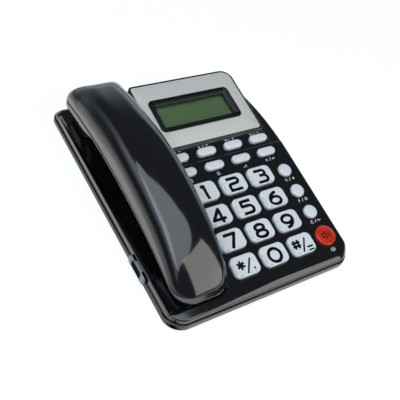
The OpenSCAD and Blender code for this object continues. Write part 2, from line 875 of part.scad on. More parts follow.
// Screws from below into the bosses
module case_screws() {
    color(steel) for (place = screw_places) translate([place[0], place[1], foot_h + screw_head_h + fit]) {
        translate([0, 0, -screw_head_h]) cylinder(d = screw_head_d, h = screw_head_h - 2 * fit);
        translate([0, 0, -screw_head_h]) cylinder(d = screw_d, h = screw_head_h + screw_l);
    }
}

// Rubber feet
module rubber_feet() {
    color(grey_rubber) for (place = foot_places) translate([place[0], place[1], 0])
        cylinder(d = foot_d, h = foot_h + foot_seat - fit);
}

// Handset outline seen from above, drawn in by inset
module hs_plan(inset) {
    translate([hs_x, hs_mid_y])
        round_rect(hs_w - 2 * inset, hs_l - 2 * inset, hs_mouth_r - inset, hs_ear_r - inset);
}

// Side view of the handset's back: an arch with a round nose at each end, drawn in by inset
module hs_side(inset) {
    back = [hs_y1 - hs_ear_nose, nose_height(hs_y1 - hs_ear_nose, hs_top_r - hs_ear_nose)];
    nose_y = hs_y0 - hs_mouth_past + hs_mouth_nose;
    front = [nose_y, nose_height(nose_y, hs_top_r - hs_mouth_nose)];
    back_r = hs_ear_nose - inset;
    front_r = hs_mouth_nose - inset;
    intersection() {
        translate(hs_top_centre) circle(hs_top_r - inset, $fn = 360);
        union() {
            polygon([hs_top_centre, hs_top_centre + 2 * hs_top_r * unit(back - hs_top_centre),
                hs_top_centre + 2 * hs_top_r * unit(front - hs_top_centre)]);
            translate(back) circle(back_r);
            translate(front) circle(front_r);
            translate([hs_top_centre[0], 0]) square([back[0] + back_r - hs_top_centre[0], back[1]]);
        }
    }
}
function nose_height(y, reach) = hs_top_centre[1] + sqrt(pow(reach, 2) - pow(y - hs_top_centre[0], 2));

// Turn a shape about the axis of an arch, which runs across the handset
module about_arch(centre) {
    translate([hs_x, centre[0], centre[1]]) rotate([0, 90, 0]) children();
}

// Outer form of the handset's back, drawn in by inset
module hs_back_form(inset) {
    crown_r = hs_top_r + hs_crown - inset;
    edge_r = hs_edge_r - inset;
    half = hs_w / 2 - inset;
    intersection() {
        linear_extrude(tall) hs_plan(inset);
        along_x(hs_x - hs_w, hs_x + hs_w) hs_side(inset);
        about_arch(hs_top_centre) rotate_extrude($fn = 360) {
            translate([crown_r - tall, -half]) square([tall - edge_r, 2 * half]);
            translate([crown_r - tall, -half + edge_r]) square([tall, 2 * half - 2 * edge_r]);
            for (side = [-1, 1]) translate([crown_r - edge_r, side * (half - edge_r)]) circle(edge_r);
        }
    }
}

// Everything below the seam, moved up by shift
module below_seam(shift) {
    about_arch(hs_seam_centre) cylinder(r = hs_seam_r + shift, h = 2 * hs_w, center = true, $fn = 360);
}

// Top shell
module handset_top_shell() {
    color(black) {
        difference() {
            hs_back_form(0);
            hs_back_form(hs_wall);
            below_seam(fit);
        }
        hs_posts();
    }
}

// Posts in the top shell that the handset screws bite into
module hs_posts() {
    for (y = hs_screw_places) difference() {
        intersection() {
            translate([hs_x, y, 0]) cylinder(d = boss_d, h = tall);
            hs_back_form(hs_wall / 2);
        }
        below_seam(fit);
        translate([hs_x, y, 0]) cylinder(d = screw_d + 2 * fit, h = seam_height(y) + screw_l);
    }
}

// A cup under the handset, from its length at the seam to its flat bottom, drawn in by inset
module cup(top_y, low_y, bottom, inset) {
    top = hs_seam + past;
    half = hs_w / 2 - inset;
    intersection() {
        along_x(hs_x - hs_w, hs_x + hs_w) polygon([[top_y[0] + inset, top], [top_y[1] - inset, top],
            [low_y[1] - inset, bottom + inset], [low_y[0] + inset, bottom + inset]]);
        translate([hs_x, hs_y1 + past, 0]) rotate([90, 0, 0]) linear_extrude(hs_l + 2 * past)
            polygon([[-half, top], [half, top],
                [half - cup_taper, bottom + inset], [-half + cup_taper, bottom + inset]]);
    }
}

module ear_cup(inset) {
    cup([hs_y1 - ear_l, hs_y1 + past], ear_low, ear_bottom, inset);
}
module mouth_cup(inset) {
    cup([hs_y0 - past, hs_y0 + mouth_l], mouth_low, mouth_bottom, inset);
}

// Outer form of the bottom shell, drawn in by inset
module hs_low_form(inset) {
    intersection() {
        linear_extrude(tall) hs_plan(inset);
        union() {
            difference() {
                below_seam(inset > 0 ? past : -fit);
                below_seam(inset - hs_low);
            }
            difference() {
                union() {
                    ear_cup(inset);
                    mouth_cup(inset);
                }
                if (inset == 0) above_seam();
            }
        }
    }
}

// Everything above the seam
module above_seam() {
    difference() {
        translate([hs_x - hs_w, hs_y0 - past, 0]) cube([2 * hs_w, hs_l + 2 * past, tall]);
        below_seam(-fit);
    }
}

// Bottom shell, with its sound holes, screw holes and the socket's opening
module handset_bottom_shell() {
    color(black) difference() {
        union() {
            difference() {
                hs_low_form(0);
                hs_low_form(hs_wall);
            }
            intersection() {
                hs_low_form(0);
                for (y = hs_screw_places) translate([hs_x, y, 0]) cylinder(d = boss_d + 2, h = tall);
            }
        }
        for (i = [0:5]) translate([hs_x + ear_hole_r * cos(60 * i), ear_y + ear_hole_r * sin(60 * i), 0])
            cylinder(d = sound_hole_d, h = capsule_low);
        translate([hs_x, ear_y, 0]) cylinder(d = sound_hole_d, h = capsule_low);
        translate([hs_x, hs_mic_y, 0]) cylinder(d = sound_hole_d, h = hs_mic_low);
        for (y = hs_screw_places) translate([hs_x, y, 0]) {
            cylinder(d = screw_d + 2 * gap, h = tall);
            cylinder(d = screw_head_d + 2 * gap, h = screw_seat(y));
        }
        socket_space(fit);
    }
}

// Space of the handset's own socket, grown by grow
module socket_space(grow) {
    width = plug_w + 2 * jack_wall + 2 * grow;
    height = plug_h + 2 * jack_wall + 2 * grow;
    translate([hs_x - width / 2, hs_y0 - past, socket_low - grow])
        cube([width, past + cup_lean + plug_depth + jack_wall + grow, height]);
}
socket_low = mouth_bottom + jack_wall;

// Handset's own socket at the mouth end
module handset_socket() {
    color(clear_grey) intersection() {
        difference() {
            socket_space(0);
            translate([hs_x - plug_w / 2, hs_y0 - 2 * past, socket_low + jack_wall])
                cube([plug_w, 2 * past + cup_lean + plug_depth, plug_h]);
        }
        mouth_cup(0);
    }
}

// Ear capsule on the floor of the ear cup
module ear_capsule() {
    color(steel) translate([hs_x, ear_y, capsule_low]) cylinder(d = capsule_d, h = capsule_h);
}

// Handset's microphone on the floor of the mouth cup
module handset_microphone() {
    color(steel) translate([hs_x, hs_mic_y, hs_mic_low]) cylinder(d = hs_mic_d, h = hs_mic_h);
}

// Steel weight in the handle
module handset_weight() {
    color(steel) translate([hs_x - weight_w / 2, weight_y - weight_l / 2, weight_low])
        cube([weight_w, weight_l, weight_h]);
}

// Screws from below that hold the two shells
module handset_screws() {
    color(steel) for (y = hs_screw_places) translate([hs_x, y, screw_seat(y) - fit]) {
        translate([0, 0, -screw_head_h]) cylinder(d = screw_head_d, h = screw_head_h);
        translate([0, 0, -past]) cylinder(d = screw_d, h = screw_l + past);
    }
}

upper_case();
lower_case();
display_panel();
display_bezel();
display_window();
lcd_glass();
lcd_board();
keypad_mat();
main_board();
board_screws();
loudspeaker();
handsfree_microphone();
hook_plunger();
hook_spring();
hook_switch();
handset_jack();
line_jack();
case_screws();
rubber_feet();
for (i = [0:11]) number_key(i);
for (i = [0:7]) function_key(i);
for (i = [0:2]) side_key(i);
red_key();
handset_top_shell();
handset_bottom_shell();
ear_capsule();
handset_microphone();
handset_weight();
handset_socket();
handset_screws();
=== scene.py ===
import math

import bpy
import numpy as np
from mathutils import Matrix, Vector


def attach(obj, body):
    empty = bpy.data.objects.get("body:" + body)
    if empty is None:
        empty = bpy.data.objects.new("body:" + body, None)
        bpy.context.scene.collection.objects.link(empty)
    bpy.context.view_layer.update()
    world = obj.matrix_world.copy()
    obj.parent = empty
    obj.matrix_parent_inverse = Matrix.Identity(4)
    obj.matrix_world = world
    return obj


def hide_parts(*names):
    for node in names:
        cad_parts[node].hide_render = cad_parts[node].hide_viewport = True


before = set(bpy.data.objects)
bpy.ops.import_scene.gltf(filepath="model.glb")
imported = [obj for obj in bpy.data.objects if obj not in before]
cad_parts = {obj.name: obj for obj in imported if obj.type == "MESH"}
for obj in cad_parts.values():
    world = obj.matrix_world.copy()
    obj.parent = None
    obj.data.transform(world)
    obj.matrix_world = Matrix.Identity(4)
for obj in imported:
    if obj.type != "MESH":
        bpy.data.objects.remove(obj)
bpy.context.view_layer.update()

# Sizes of the solids, in millimetres, in the frame of the solids
MM = 0.001
case_x = 1.0
body_w, body_l = 163.0, 216.0
left_x, right_x = case_x - body_w / 2, case_x + body_w / 2
front_y, back_y = -body_l / 2, body_l / 2
front_corner, back_corner = 14.0, 9.0
skirt, wall, gap, fit = 0.8, 2.2, 0.3, 0.1
foot_h, floor_t, seam_h = 1.5, 2.0, 6.0
tray_top, tray_wall, well_floor = 11.5, 1.8, 9.0
block_x = left_x + 52.4
front_h = 12.5
tilt = math.radians(8)
flat_l, arch_r = 103.0, 240.0
hood_right, hood_y, hood_l, hood_rise = right_x - 12, 128.5, 66.5, 2.1
display_x, display_y = case_x + 18.7, hood_y + hood_l / 2 - 0.8
bezel_w, bezel_l, bezel_rise = 76.4, 31.8, 1.2
display_hole_w, display_hole_l, display_hole_r = 71.4, 26.8, 2.0
crease_v, crease_l, crease_in = 113.6, 0.9, 0.3
key_rise, flange_low, key_edge, key_dish, dish_in = 2.1, -3.5, 0.8, 0.25, 6.4
key_w, key_l, key_r = 22.0, 16.4, 4.5
key_x, key_y, key_step_x, key_step_y = case_x + 15, 22.7, 26.5, 21.5
pill_w, pill_l = 17.0, 7.2
pill_x, pill_y, pill_step_x, pill_step_y = key_x + 6.15, 107.1, 25.5, 13.9
dot_d, dot_x, dot_y, dot_step = 11.5, case_x + 66, key_y + 3 * key_step_y - 1, 20.4
red_d = 17.0
hs_x, hs_y0, hs_y1, hs_half = left_x + 28.9, -100.0, 101.0, 22.75
hs_mid = (hs_y0 + hs_y1) / 2
ear_bottom, mouth_bottom = tray_top + gap, well_floor + gap
jack_y, jack_low, plug_w, plug_h = -55.5, 2.6, 7.8, 5.8
jack_mouth_w, jack_mouth_h = 13.5, 6.8
line_x, line_low = case_x + 40, 3.6
hook_y, hook_half_w, hook_half_l = 76.0, 5.3, 3.8
slot_x, slot_y, slot_pitch, slot_count, slot_l, slot_w = left_x + 24, -33.0, 4.8, 10, 30.0, 2.6
apron_l, apron_r, left_rim, front_seam, front_groove = 9.5, 9.0, 1.6, 1.1, 1.3
screw_pocket_r, foot_seat_r = 3.4, 6.3


# Forms as distances: below zero inside, in millimetres

def round_rect(x, y, w, l, radii):
    """Rounded rectangle about the origin. Its radii run anticlockwise from the front left corner."""
    r = np.where(y < 0, np.where(x < 0, radii[0], radii[1]), np.where(x > 0, radii[2], radii[3]))
    qx = np.abs(x) - w / 2 + r
    qy = np.abs(y) - l / 2 + r
    return np.hypot(np.maximum(qx, 0), np.maximum(qy, 0)) + np.minimum(np.maximum(qx, qy), 0) - r


def meet(a, b, r):
    """What two forms share, with the edge where they meet rounded by r."""
    return np.minimum(np.maximum(a, b), -r) + np.hypot(np.maximum(a + r, 0), np.maximum(b + r, 0))


def join(a, b, r):
    """Two forms together, with a fillet of r in the corner between them."""
    return np.maximum(np.minimum(a, b), r) - np.hypot(np.maximum(r - a, 0), np.maximum(r - b, 0))


def ease(t):
    """A smooth step from 0 to 1."""
    t = np.clip(t, 0, 1)
    return t * t * (3 - 2 * t)


def face_place(y, z):
    """Distance up the face from its front edge, and out of the face."""
    dy, dz = y - front_y, z - front_h
    return dy * math.cos(tilt) + dz * math.sin(tilt), dz * math.cos(tilt) - dy * math.sin(tilt)


def on_face(points):
    """Points given as x, up the face and out of the face, in the frame."""
    x, v, w = np.asarray(points, float).T
    return np.stack([x, front_y + v * math.cos(tilt) - w * math.sin(tilt),
                     front_h + v * math.sin(tilt) + w * math.cos(tilt)], 1)


def case_plan(x, y, inset):
    """Outline of the base seen from above, drawn in by inset."""
    front, back = front_corner - inset, back_corner - inset
    return round_rect(x - case_x, y, body_w - 2 * inset, body_l - 2 * inset, (front, front, back, back))


def nearest(value, start, step, count):
    """Offset from the nearest of a row of places."""
    return value - start - step * np.clip(np.round((value - start) / step), 0, count - 1)


def pill_shape(x, y, w, l):
    """Long round-ended outline."""
    return np.hypot(np.maximum(np.abs(x) - (w - l) / 2, 0), y) - l / 2


def key_openings(x, v):
    """Outlines of all keys on the face."""
    numbers = round_rect(nearest(x, key_x - key_step_x, key_step_x, 3), nearest(v, key_y, key_step_y, 4),
                         key_w, key_l, (key_r,) * 4)
    pills = pill_shape(nearest(x, pill_x - 1.5 * pill_step_x, pill_step_x, 4),
                       nearest(v, pill_y, pill_step_y, 2), pill_w, pill_l)
    dots = np.hypot(x - dot_x, nearest(v, dot_y - 2 * dot_step, dot_step, 3)) - dot_d / 2
    red = np.hypot(x - dot_x, v - key_y) - red_d / 2
    return np.minimum(np.minimum(numbers, pills), np.minimum(dots, red))


def panel_outline(x, v, grow):
    """Outline of the silver panel."""
    return round_rect(x - (block_x + hood_right) / 2, v - hood_y - hood_l / 2,
                      hood_right - block_x - 4 + 2 * grow, hood_l - 4 + 2 * grow, (2.6, 2.6, 8, 2))


arch_y = front_y + flat_l * math.cos(tilt) + arch_r * math.sin(tilt)
arch_z = front_h + flat_l * math.sin(tilt) - arch_r * math.cos(tilt)
mouth_low, mouth_half = (hs_y0 + 4, hs_y0 + 34), hs_half - 4


def seam_top(y):
    """Height of the seam between the cases, a little higher at the front."""
    return seam_h + front_seam * ease((-90 - y) / 12)


def case_outside(x, y, z):
    """Outside of the upper case: tray, keypad block, arched shoulder and display hood."""
    v, w = face_place(y, z)
    crease = crease_in * ease((v - crease_v) / crease_l)
    top = np.where(v < flat_l, w, np.hypot(y - arch_y, z - arch_z) - arch_r) + crease
    beside = join(block_x - 3.2 * ease((-78 - y) / 6) - x, y - front_y - apron_l, apron_r)
    block = meet(beside, top, 1.6)
    run_sides = np.maximum(np.maximum(block_x - x, x - hood_right), v - hood_y - hood_l + 12)
    run = meet(run_sides, w + crease, 1.2)
    hood = meet(round_rect(x - (block_x + hood_right) / 2, v - hood_y - hood_l / 2,
                           hood_right - block_x, hood_l, (1.2, 1.2, 10, 4)), w - hood_rise, 0.9)
    edge_rise = left_rim * ease((left_x + 4.5 - x) / 3) * ease((y + 98) / 10)
    tray_fillet = 0.3 + 2.2 * ease((y + 98) / 6)
    top_form = join(z - tray_top - edge_rise, join(np.minimum(block, run), hood, 0.5), tray_fillet)
    roll = 0.6 + 1.4 * ease((x + 20) / 30) + 6 * ease((y - 88) / 12)
    roll = roll + (0.8 + 2.4 * ease((x + 60) / 50)) * ease((-y - 94) / 10)
    groove = front_groove * ease((seam_top(y) + 1.4 - z) / 0.5) * ease((-90 - y) / 12)
    outside = meet(case_plan(x, y, skirt) + groove, top_form, roll)
    well = round_rect(x - hs_x, y - sum(mouth_low) / 2, 2 * mouth_half + 3.4,
                      mouth_low[1] - mouth_low[0] + 3.4, (4,) * 4)
    return np.maximum(outside, -meet(well, well_floor - z, 0.6))


def upper_case(p):
    """Upper case: a shell with its openings."""
    x, y, z = p.T
    v, w = face_place(y, z)
    outside = case_outside(x, y, z)
    shell = np.maximum(np.maximum(outside, -outside - tray_wall), seam_top(y) + gap - z)
    shell = np.maximum(shell, -np.maximum(key_openings(x, v) - gap, -6 - w))
    shell = np.maximum(shell, -np.maximum(panel_outline(x, v, fit), 1.2 - w))
    display_hole = round_rect(x - display_x, v - display_y, display_hole_w, display_hole_l,
                              (display_hole_r,) * 4)
    shell = np.maximum(shell, -np.maximum(display_hole, -5 - w))
    slots = pill_shape(x - slot_x, nearest(y, slot_y, slot_pitch, slot_count), slot_l, slot_w)
    shell = meet(shell, -np.maximum(slots, tray_top - 4 - z), 0.5)
    hook = np.maximum(np.abs(x - hs_x) - hook_half_w, np.abs(y - hook_y) - hook_half_l)
    shell = np.maximum(shell, -hook)
    side_jack = np.maximum(np.abs(y - jack_y) - plug_w / 2 - 1.3, np.abs(z - jack_low - 3.9) - 4.2)
    shell = np.maximum(shell, -np.maximum(side_jack, x - left_x - 13))
    back_jack = np.maximum(np.abs(x - line_x) - 6.2, np.abs(z - line_low - 4.4) - 4.7)
    return np.maximum(shell, -np.maximum(back_jack, back_y - 14 - y))


screw_places = [(left_x + 11, front_y + 8.5), (right_x - 11, front_y + 8.5),
                (left_x + 11, back_y - 15), (right_x - 11, back_y - 15)]
foot_places = [(left_x + 24, front_y + 21), (right_x - 24, front_y + 21),
               (left_x + 24, back_y - 21), (right_x - 24, back_y - 21)]


def lower_case(p):
    """Lower case: a shallow pan with a rounded bottom edge, screw pockets and foot seats."""
    x, y, z = p.T
    outside = meet(case_plan(x, y, -0.4), 0.4 - z, 2.2)
    outside = meet(outside, z - seam_top(y), 0.4)
    inside = np.maximum(case_plan(x, y, skirt + wall), foot_h + floor_t - z)
    pan = np.maximum(outside, -inside)
    for sx, sy in screw_places:
        pan = np.maximum(pan, -np.maximum(np.hypot(x - sx, y - sy) - screw_pocket_r, z - foot_h - 1.2))
    for fx, fy in foot_places:
        pan = np.maximum(pan, -np.maximum(np.hypot(x - fx, y - fy) - foot_seat_r, z - foot_h - 0.7))
    pan = np.maximum(pan, -(np.hypot(x - case_x - 30, y - front_y - 9) - 1))
    side_jack = np.maximum(np.abs(y - jack_y) - plug_w / 2 - 1.1, np.abs(z - jack_low - 3.9) - 4)
    pan = np.maximum(pan, -np.maximum(side_jack, x - left_x - 13))
    back_jack = np.maximum(np.abs(x - line_x) - 6, np.abs(z - line_low - 4.4) - 4.5)
    return np.maximum(pan, -np.maximum(back_jack, back_y - 14 - y))


# Handset: an arched back with a round nose at each end, over an ear cup and a mouth cup
back_y0, back_z0, back_r = hs_mid + 11.5, 61.3 - 253, 253.0
seam_y0, seam_z0, seam_r = hs_mid + 15.5, 37.4 - 370, 370.0
ear_nose, mouth_nose, mouth_past, crown_r = 30.0, 88.0, 15.0, 75.0
cup_top, cup_slope, cup_lean, cup_taper = 38.4, 16, 5, 4
ear_end_y = hs_y1 - ear_nose
ear_end_z = back_z0 + math.sqrt((back_r - ear_nose) ** 2 - (ear_end_y - back_y0) ** 2)
mouth_end_y = hs_y0 - mouth_past + mouth_nose
mouth_end_z = back_z0 + math.sqrt((back_r - mouth_nose) ** 2 - (mouth_end_y - back_y0) ** 2)


def seam_over(y, z):
    """Distance above the seam between the shells."""
    return np.hypot(y - seam_y0, z - seam_z0) - seam_r


def nose(y, z, end_y, end_z, r, way):
    """Distance from a round nose, how far round it a point lies (0 to 1), and where the nose holds."""
    out, up = way * (y - end_y), z - end_z
    lean = math.atan2(way * (end_y - back_y0), end_z - back_z0)
    turn = (np.arctan2(out, up) - lean) / (math.pi / 2 - lean)
    return np.hypot(out, up) - r, np.clip(turn, 0, 1), (turn > 0) & (up > 0)


def handset_plan(x, y):
    """Outline of the handset seen from above."""
    return round_rect(x - hs_x, y - hs_mid, 2 * hs_half, hs_y1 - hs_y0, (15.5, 15.5, 8, 8))


def handset_back(p):
    """Top shell of the handset."""
    x, y, z = p.T
    side = np.maximum(np.hypot(y - back_y0, z - back_z0) - back_r, np.maximum(y - hs_y1, hs_y0 - y))
    ear, ear_turn, at_ear = nose(y, z, ear_end_y, ear_end_z, ear_nose, 1)
    mouth, mouth_turn, at_mouth = nose(y, z, mouth_end_y, mouth_end_z, mouth_nose, -1)
    crown = (x - hs_x) ** 2 / (2 * crown_r) * ease((70 - y) / 70)
    side = np.where(at_ear, ear, np.where(at_mouth, mouth, side)) + crown
    edge = 11 + 6 * ease(y / 50) - 11 * ease(1.3 * ear_turn) - 8.5 * ease(mouth_turn / 0.75)
    plan = np.where(y < 0, handset_plan(x, y), np.abs(x - hs_x) - hs_half)
    body = meet(side, plan, edge) + 0.4
    return meet(body, 0.12 - seam_over(y, z), 0.3)


def cup(x, y, z, handle, end, bottom, way, inset):
    """A tapered cup under the handset, set in from its rim, with a slope towards the handle."""
    tall = cup_top - bottom
    slope = (-way * tall * (y - handle) - cup_slope * (z - cup_top)) / math.hypot(tall, cup_slope)
    lean = (way * tall * (y - end) - cup_lean * (z - cup_top)) / math.hypot(tall, cup_lean)
    flank = np.abs(x - hs_x) - hs_half + inset + cup_taper * (cup_top - z) / tall
    flank = flank / math.hypot(1, cup_taper / tall)
    sides = meet(np.maximum(slope, lean), flank, 9)
    return meet(sides, bottom - z, 3.5)


hs_screws = (hs_y0 + 57, hs_y1 - 61)
ear_y, mic_y = hs_y1 - 21, hs_y0 + 26.15


def handset_front(p):
    """Bottom shell of the handset, with its sound holes, screw pockets and the socket's opening."""
    x, y, z = p.T
    over = seam_over(y, z)
    plan = handset_plan(x, y)
    rim = 2.2 + 1.6 * ease((y + 70) / 60)
    handle = meet(plan, -rim - over, 1 + 0.4 * rim)
    ear = cup(x, y, z, hs_y1 - 54, hs_y1 + 1, ear_bottom, 1, 0)
    mouth = cup(x, y, z, hs_y0 + 50, hs_y0 + 0.5, mouth_bottom, -1, 2)
    form = np.maximum(join(join(handle, ear, 7), mouth, 0.5 + rim), plan)
    form = meet(form, over + 0.12, 0.45)
    for i in range(7):
        reach = 0 if i == 6 else 6
        hx, hy = hs_x + reach * math.cos(i * math.pi / 3), ear_y + reach * math.sin(i * math.pi / 3)
        form = np.maximum(form, -np.maximum(np.hypot(x - hx, y - hy) - 1, z - ear_bottom - 3))
    form = np.maximum(form, -np.maximum(np.hypot(x - hs_x, y - mic_y) - 1, z - mouth_bottom - 3))
    for sy in hs_screws:
        form = np.maximum(form, -np.maximum(np.hypot(x - hs_x, y - sy) - 2.9, over + 2.8))
    socket = np.maximum(np.abs(x - hs_x) - 5, np.abs(z - mouth_bottom - 4.9) - 4)
    return np.maximum(form, -np.maximum(socket, np.maximum(y - hs_y0 - 16, over + rim)))


def jack_boss(p):
    """Jack on the left wall: a rounded plate with a wide mouth, and a body behind it."""
    x, y, z = p.T
    across, up = y - jack_y, z - jack_low - plug_h / 2 - 1
    plate = meet(round_rect(across, up, 24, 7.8, (3.4,) * 4), left_x - 1.9 - x, 1.3)
    plate = np.maximum(plate, x - left_x + fit)
    body = np.maximum(np.maximum(np.abs(across) - plug_w / 2 - 1, np.abs(up) - plug_h / 2 - 1),
                      np.maximum(left_x - 1 - x, x - left_x - 12))
    mouth = np.maximum(round_rect(across, up, jack_mouth_w, jack_mouth_h, (1.4,) * 4), x - left_x + 0.7)
    bore = np.maximum(np.maximum(np.abs(across) - plug_w / 2, np.abs(up) - plug_h / 2), x - left_x - 10)
    return np.maximum(np.minimum(plate, body), -np.minimum(mouth, bore))


# Making meshes

def add_piece(name, points, faces, material, body, normals=None, sharp=None):
    """A mesh piece from points in millimetres, riding on a body."""
    mesh = bpy.data.meshes.new(name)
    mesh.from_pydata(np.asarray(points, float) * MM, [], faces)
    mesh.update()
    mesh.polygons.foreach_set("use_smooth", np.ones(len(mesh.polygons), bool))
    if normals is not None:
        mesh.normals_split_custom_set_from_vertices(normals)
    if sharp is not None:
        mesh.set_sharp_from_angle(angle=math.radians(sharp))
    mesh.materials.append(material)
    piece = bpy.data.objects.new(name, mesh)
    bpy.context.scene.collection.objects.link(piece)
    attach(piece, body)
    return piece


def slope_of(distance, p, value):
    """Gradient of a distance at points."""
    step = 0.004
    return np.stack([(distance(p + step * np.eye(3)[k]) - value) / step for k in range(3)], 1)


def moulded(name, distance, low, high, cell, material, body):
    """A piece whose skin is where a distance is zero. Coarse blocks away from the skin are skipped."""
    low = np.array(low, float)
    blocks = np.ceil((np.array(high, float) - low) / (4 * cell)).astype(int)
    middles = np.stack(np.meshgrid(*[np.arange(n) for n in blocks], indexing="ij"), -1).reshape(-1, 3)
    near = np.abs(distance(low + (4 * middles + 2) * cell)) < 6 * cell
    cells = near.reshape(blocks).repeat(4, 0).repeat(4, 1).repeat(4, 2)
    corners = [(i, j, k) for i in (0, 1) for j in (0, 1) for k in (0, 1)]
    active = np.zeros(np.array(cells.shape) + 1, bool)
    for i, j, k in corners:
        active[i:i + cells.shape[0], j:j + cells.shape[1], k:k + cells.shape[2]] |= cells
    value = np.full(active.shape, np.inf)
    places = np.argwhere(active)
    value[active] = np.concatenate([distance(low + part * cell)
                                    for part in np.array_split(places, 1 + len(places) // 300000)])
    inside = value < 0
    found = np.zeros(cells.shape, int)
    for i, j, k in corners:
        found += inside[i:i + cells.shape[0], j:j + cells.shape[1], k:k + cells.shape[2]]
    mixed = cells & (found > 0) & (found < 8)
    home = np.argwhere(mixed)
    number = np.full(cells.shape, -1)
    number[mixed] = np.arange(len(home))
    total = np.zeros((len(home), 3))
    count = np.zeros(len(home))
    for a in corners:
        for axis in range(3):
            if a[axis] == 0:
                b = np.array(a)
                b[axis] = 1
                va = value[tuple((home + a).T)]
                vb = value[tuple((home + b).T)]
                cut = (va < 0) != (vb < 0)
                share = np.where(cut, va / np.where(cut, va - vb, 1), 0)
                total += cut[:, None] * (np.array(a) + share[:, None] * (b - np.array(a)))
                count += cut
    points = low + (home + total / count[:, None]) * cell
    faces = []
    for axis in range(3):
        across, along = np.eye(3, dtype=int)[(axis + 1) % 3], np.eye(3, dtype=int)[(axis + 2) % 3]
        step = np.eye(3, dtype=int)[axis]
        first = inside[:-1, :-1, :-1]
        second = inside[step[0]:, step[1]:, step[2]:][:first.shape[0], :first.shape[1], :first.shape[2]]
        edge = np.argwhere((first != second) & cells)
        edge = edge[(edge - across - along >= 0).all(1)]
        backs = (across + along, along, 0 * step, across)
        ring = np.stack([number[tuple((edge - back).T)] for back in backs], 1)
        flip = ~inside[tuple(edge.T)]
        ring[flip] = ring[flip][:, ::-1]
        faces.append(ring[(ring >= 0).all(1)])
    for turn in range(3):
        off = distance(points)
        slope = slope_of(distance, points, off)
        length = np.maximum((slope ** 2).sum(1), 0.2)
        points = points - np.clip(off / length, -cell, cell)[:, None] * slope
    slope = slope_of(distance, points, distance(points))
    normals = slope / np.maximum(np.linalg.norm(slope, axis=1), 1e-6)[:, None]
    return add_piece(name, points, np.concatenate(faces).tolist(), material, body, normals=normals)


def outline(w, l, radii, steps=8):
    """Points round a rounded rectangle about the origin, from its front left corner on."""
    points = []
    for i, (sx, sy) in enumerate(((-1, -1), (1, -1), (1, 1), (-1, 1))):
        r = max(radii[i], 0.02)
        for k in range(steps + 1):
            angle = math.pi + (i + k / steps) * math.pi / 2
            points.append((sx * (w / 2 - r) + r * math.cos(angle), sy * (l / 2 - r) + r * math.sin(angle)))
    return np.array(points)


def layer(points, height):
    """Points of an outline with a height, or with a height for each point."""
    return np.column_stack([points, np.broadcast_to(height, len(points))])


def lofted(name, rings, place, material, body, closed=False, sharp=40):
    """A skin through rings of points, placed by a function, with flat ends or closed round to its start."""
    size = len(rings[0])
    points = np.concatenate(rings)
    faces = []
    for k in range(len(rings) - (0 if closed else 1)):
        a, b = k * size, (k + 1) % len(rings) * size
        for i in range(size):
            j = (i + 1) % size
            faces.append((a + i, a + j, b + j, b + i))
    if not closed:
        faces.append(tuple(range(size))[::-1])
        faces.append(tuple(range(len(points) - size, len(points))))
    return add_piece(name, place(points), faces, material, body, sharp=sharp)


def at_face(x, v):
    """Places points about a spot on the face."""
    return lambda points: on_face(points + np.array([x, v, 0]))


def at_point(x, y, z):
    """Places points about a spot in the frame."""
    return lambda points: points + np.array([x, y, z])


# Finishes

def colour(code):
    """Linear colour of a hex code."""
    parts = [int(code[i:i + 2], 16) / 255 for i in (1, 3, 5)]
    return tuple(c / 12.92 if c <= 0.04045 else ((c + 0.055) / 1.055) ** 2.4 for c in parts) + (1.0,)


def node(tree, kind, inputs=None, **settings):
    """Adds a node with its settings, and sets or links its inputs."""
    made = tree.nodes.new(kind)
    for key, value in settings.items():
        setattr(made, key, value)
    for key, value in (inputs or {}).items():
        if isinstance(value, bpy.types.NodeSocket):
            tree.links.new(value, made.inputs[key])
        else:
            made.inputs[key].default_value = value
    return made


def finish(name):
    """A new material's node tree, and the place of its points in metres."""
    material = bpy.data.materials.new(name)
    material.use_nodes = True
    tree = material.node_tree
    tree.nodes.clear()
    return material, tree, node(tree, "ShaderNodeTexCoord").outputs["Object"]


def plastic(name, dark, light, rough, peel, grain, peel_depth, **extra):
    """Moulded plastic: two shades in soft clouds, a roughness range and a relief with a grain in mm.

    The real grain is a few hundredths of a millimetre. It is drawn coarser, so that it shows.
    """
    material, tree, place = finish(name)
    clouds = node(tree, "ShaderNodeTexNoise", {"Vector": place, "Scale": 1 / 0.018, "Detail": 3})
    shade = node(tree, "ShaderNodeMix", {"Factor": clouds.outputs[0], "A": colour(dark), "B": colour(light)},
                 data_type="RGBA")
    smear = node(tree, "ShaderNodeTexNoise", {"Vector": place, "Scale": 1 / 0.006, "Detail": 4})
    range_ = node(tree, "ShaderNodeMapRange", {"Value": smear.outputs[0], "From Min": 0.3, "From Max": 0.7,
                                               "To Min": rough[0], "To Max": rough[1]})
    relief = node(tree, "ShaderNodeTexNoise", {"Vector": place, "Scale": 1 / (grain * MM), "Detail": 2})
    bump = node(tree, "ShaderNodeBump", {"Height": relief.outputs[0], "Strength": peel,
                                         "Distance": peel_depth * MM})
    shader = node(tree, "ShaderNodeBsdfPrincipled",
                  {"Base Color": shade.outputs["Result"], "Roughness": range_.outputs["Result"],
                   "Normal": bump.outputs["Normal"], **extra})
    node(tree, "ShaderNodeOutputMaterial", {"Surface": shader.outputs["BSDF"]})
    return material


# ABS from a polished mould under a clear gloss lacquer: deep black with clear, slightly rippled reflections
gloss_black = plastic("lacquered_polished_black_abs", "#08080a", "#0b0b0e", (0.07, 0.13), 0.2, 2.4, 0.02,
                      IOR=1.54, **{"Coat Weight": 0.7, "Coat Roughness": 0.04})
# ABS from a fine spark-eroded mould: black with a soft grey sheen
satin_black = plastic("spark_eroded_black_abs", "#0d0d0f", "#131316", (0.28, 0.38), 0.35, 0.45, 0.02,
                      IOR=1.54)
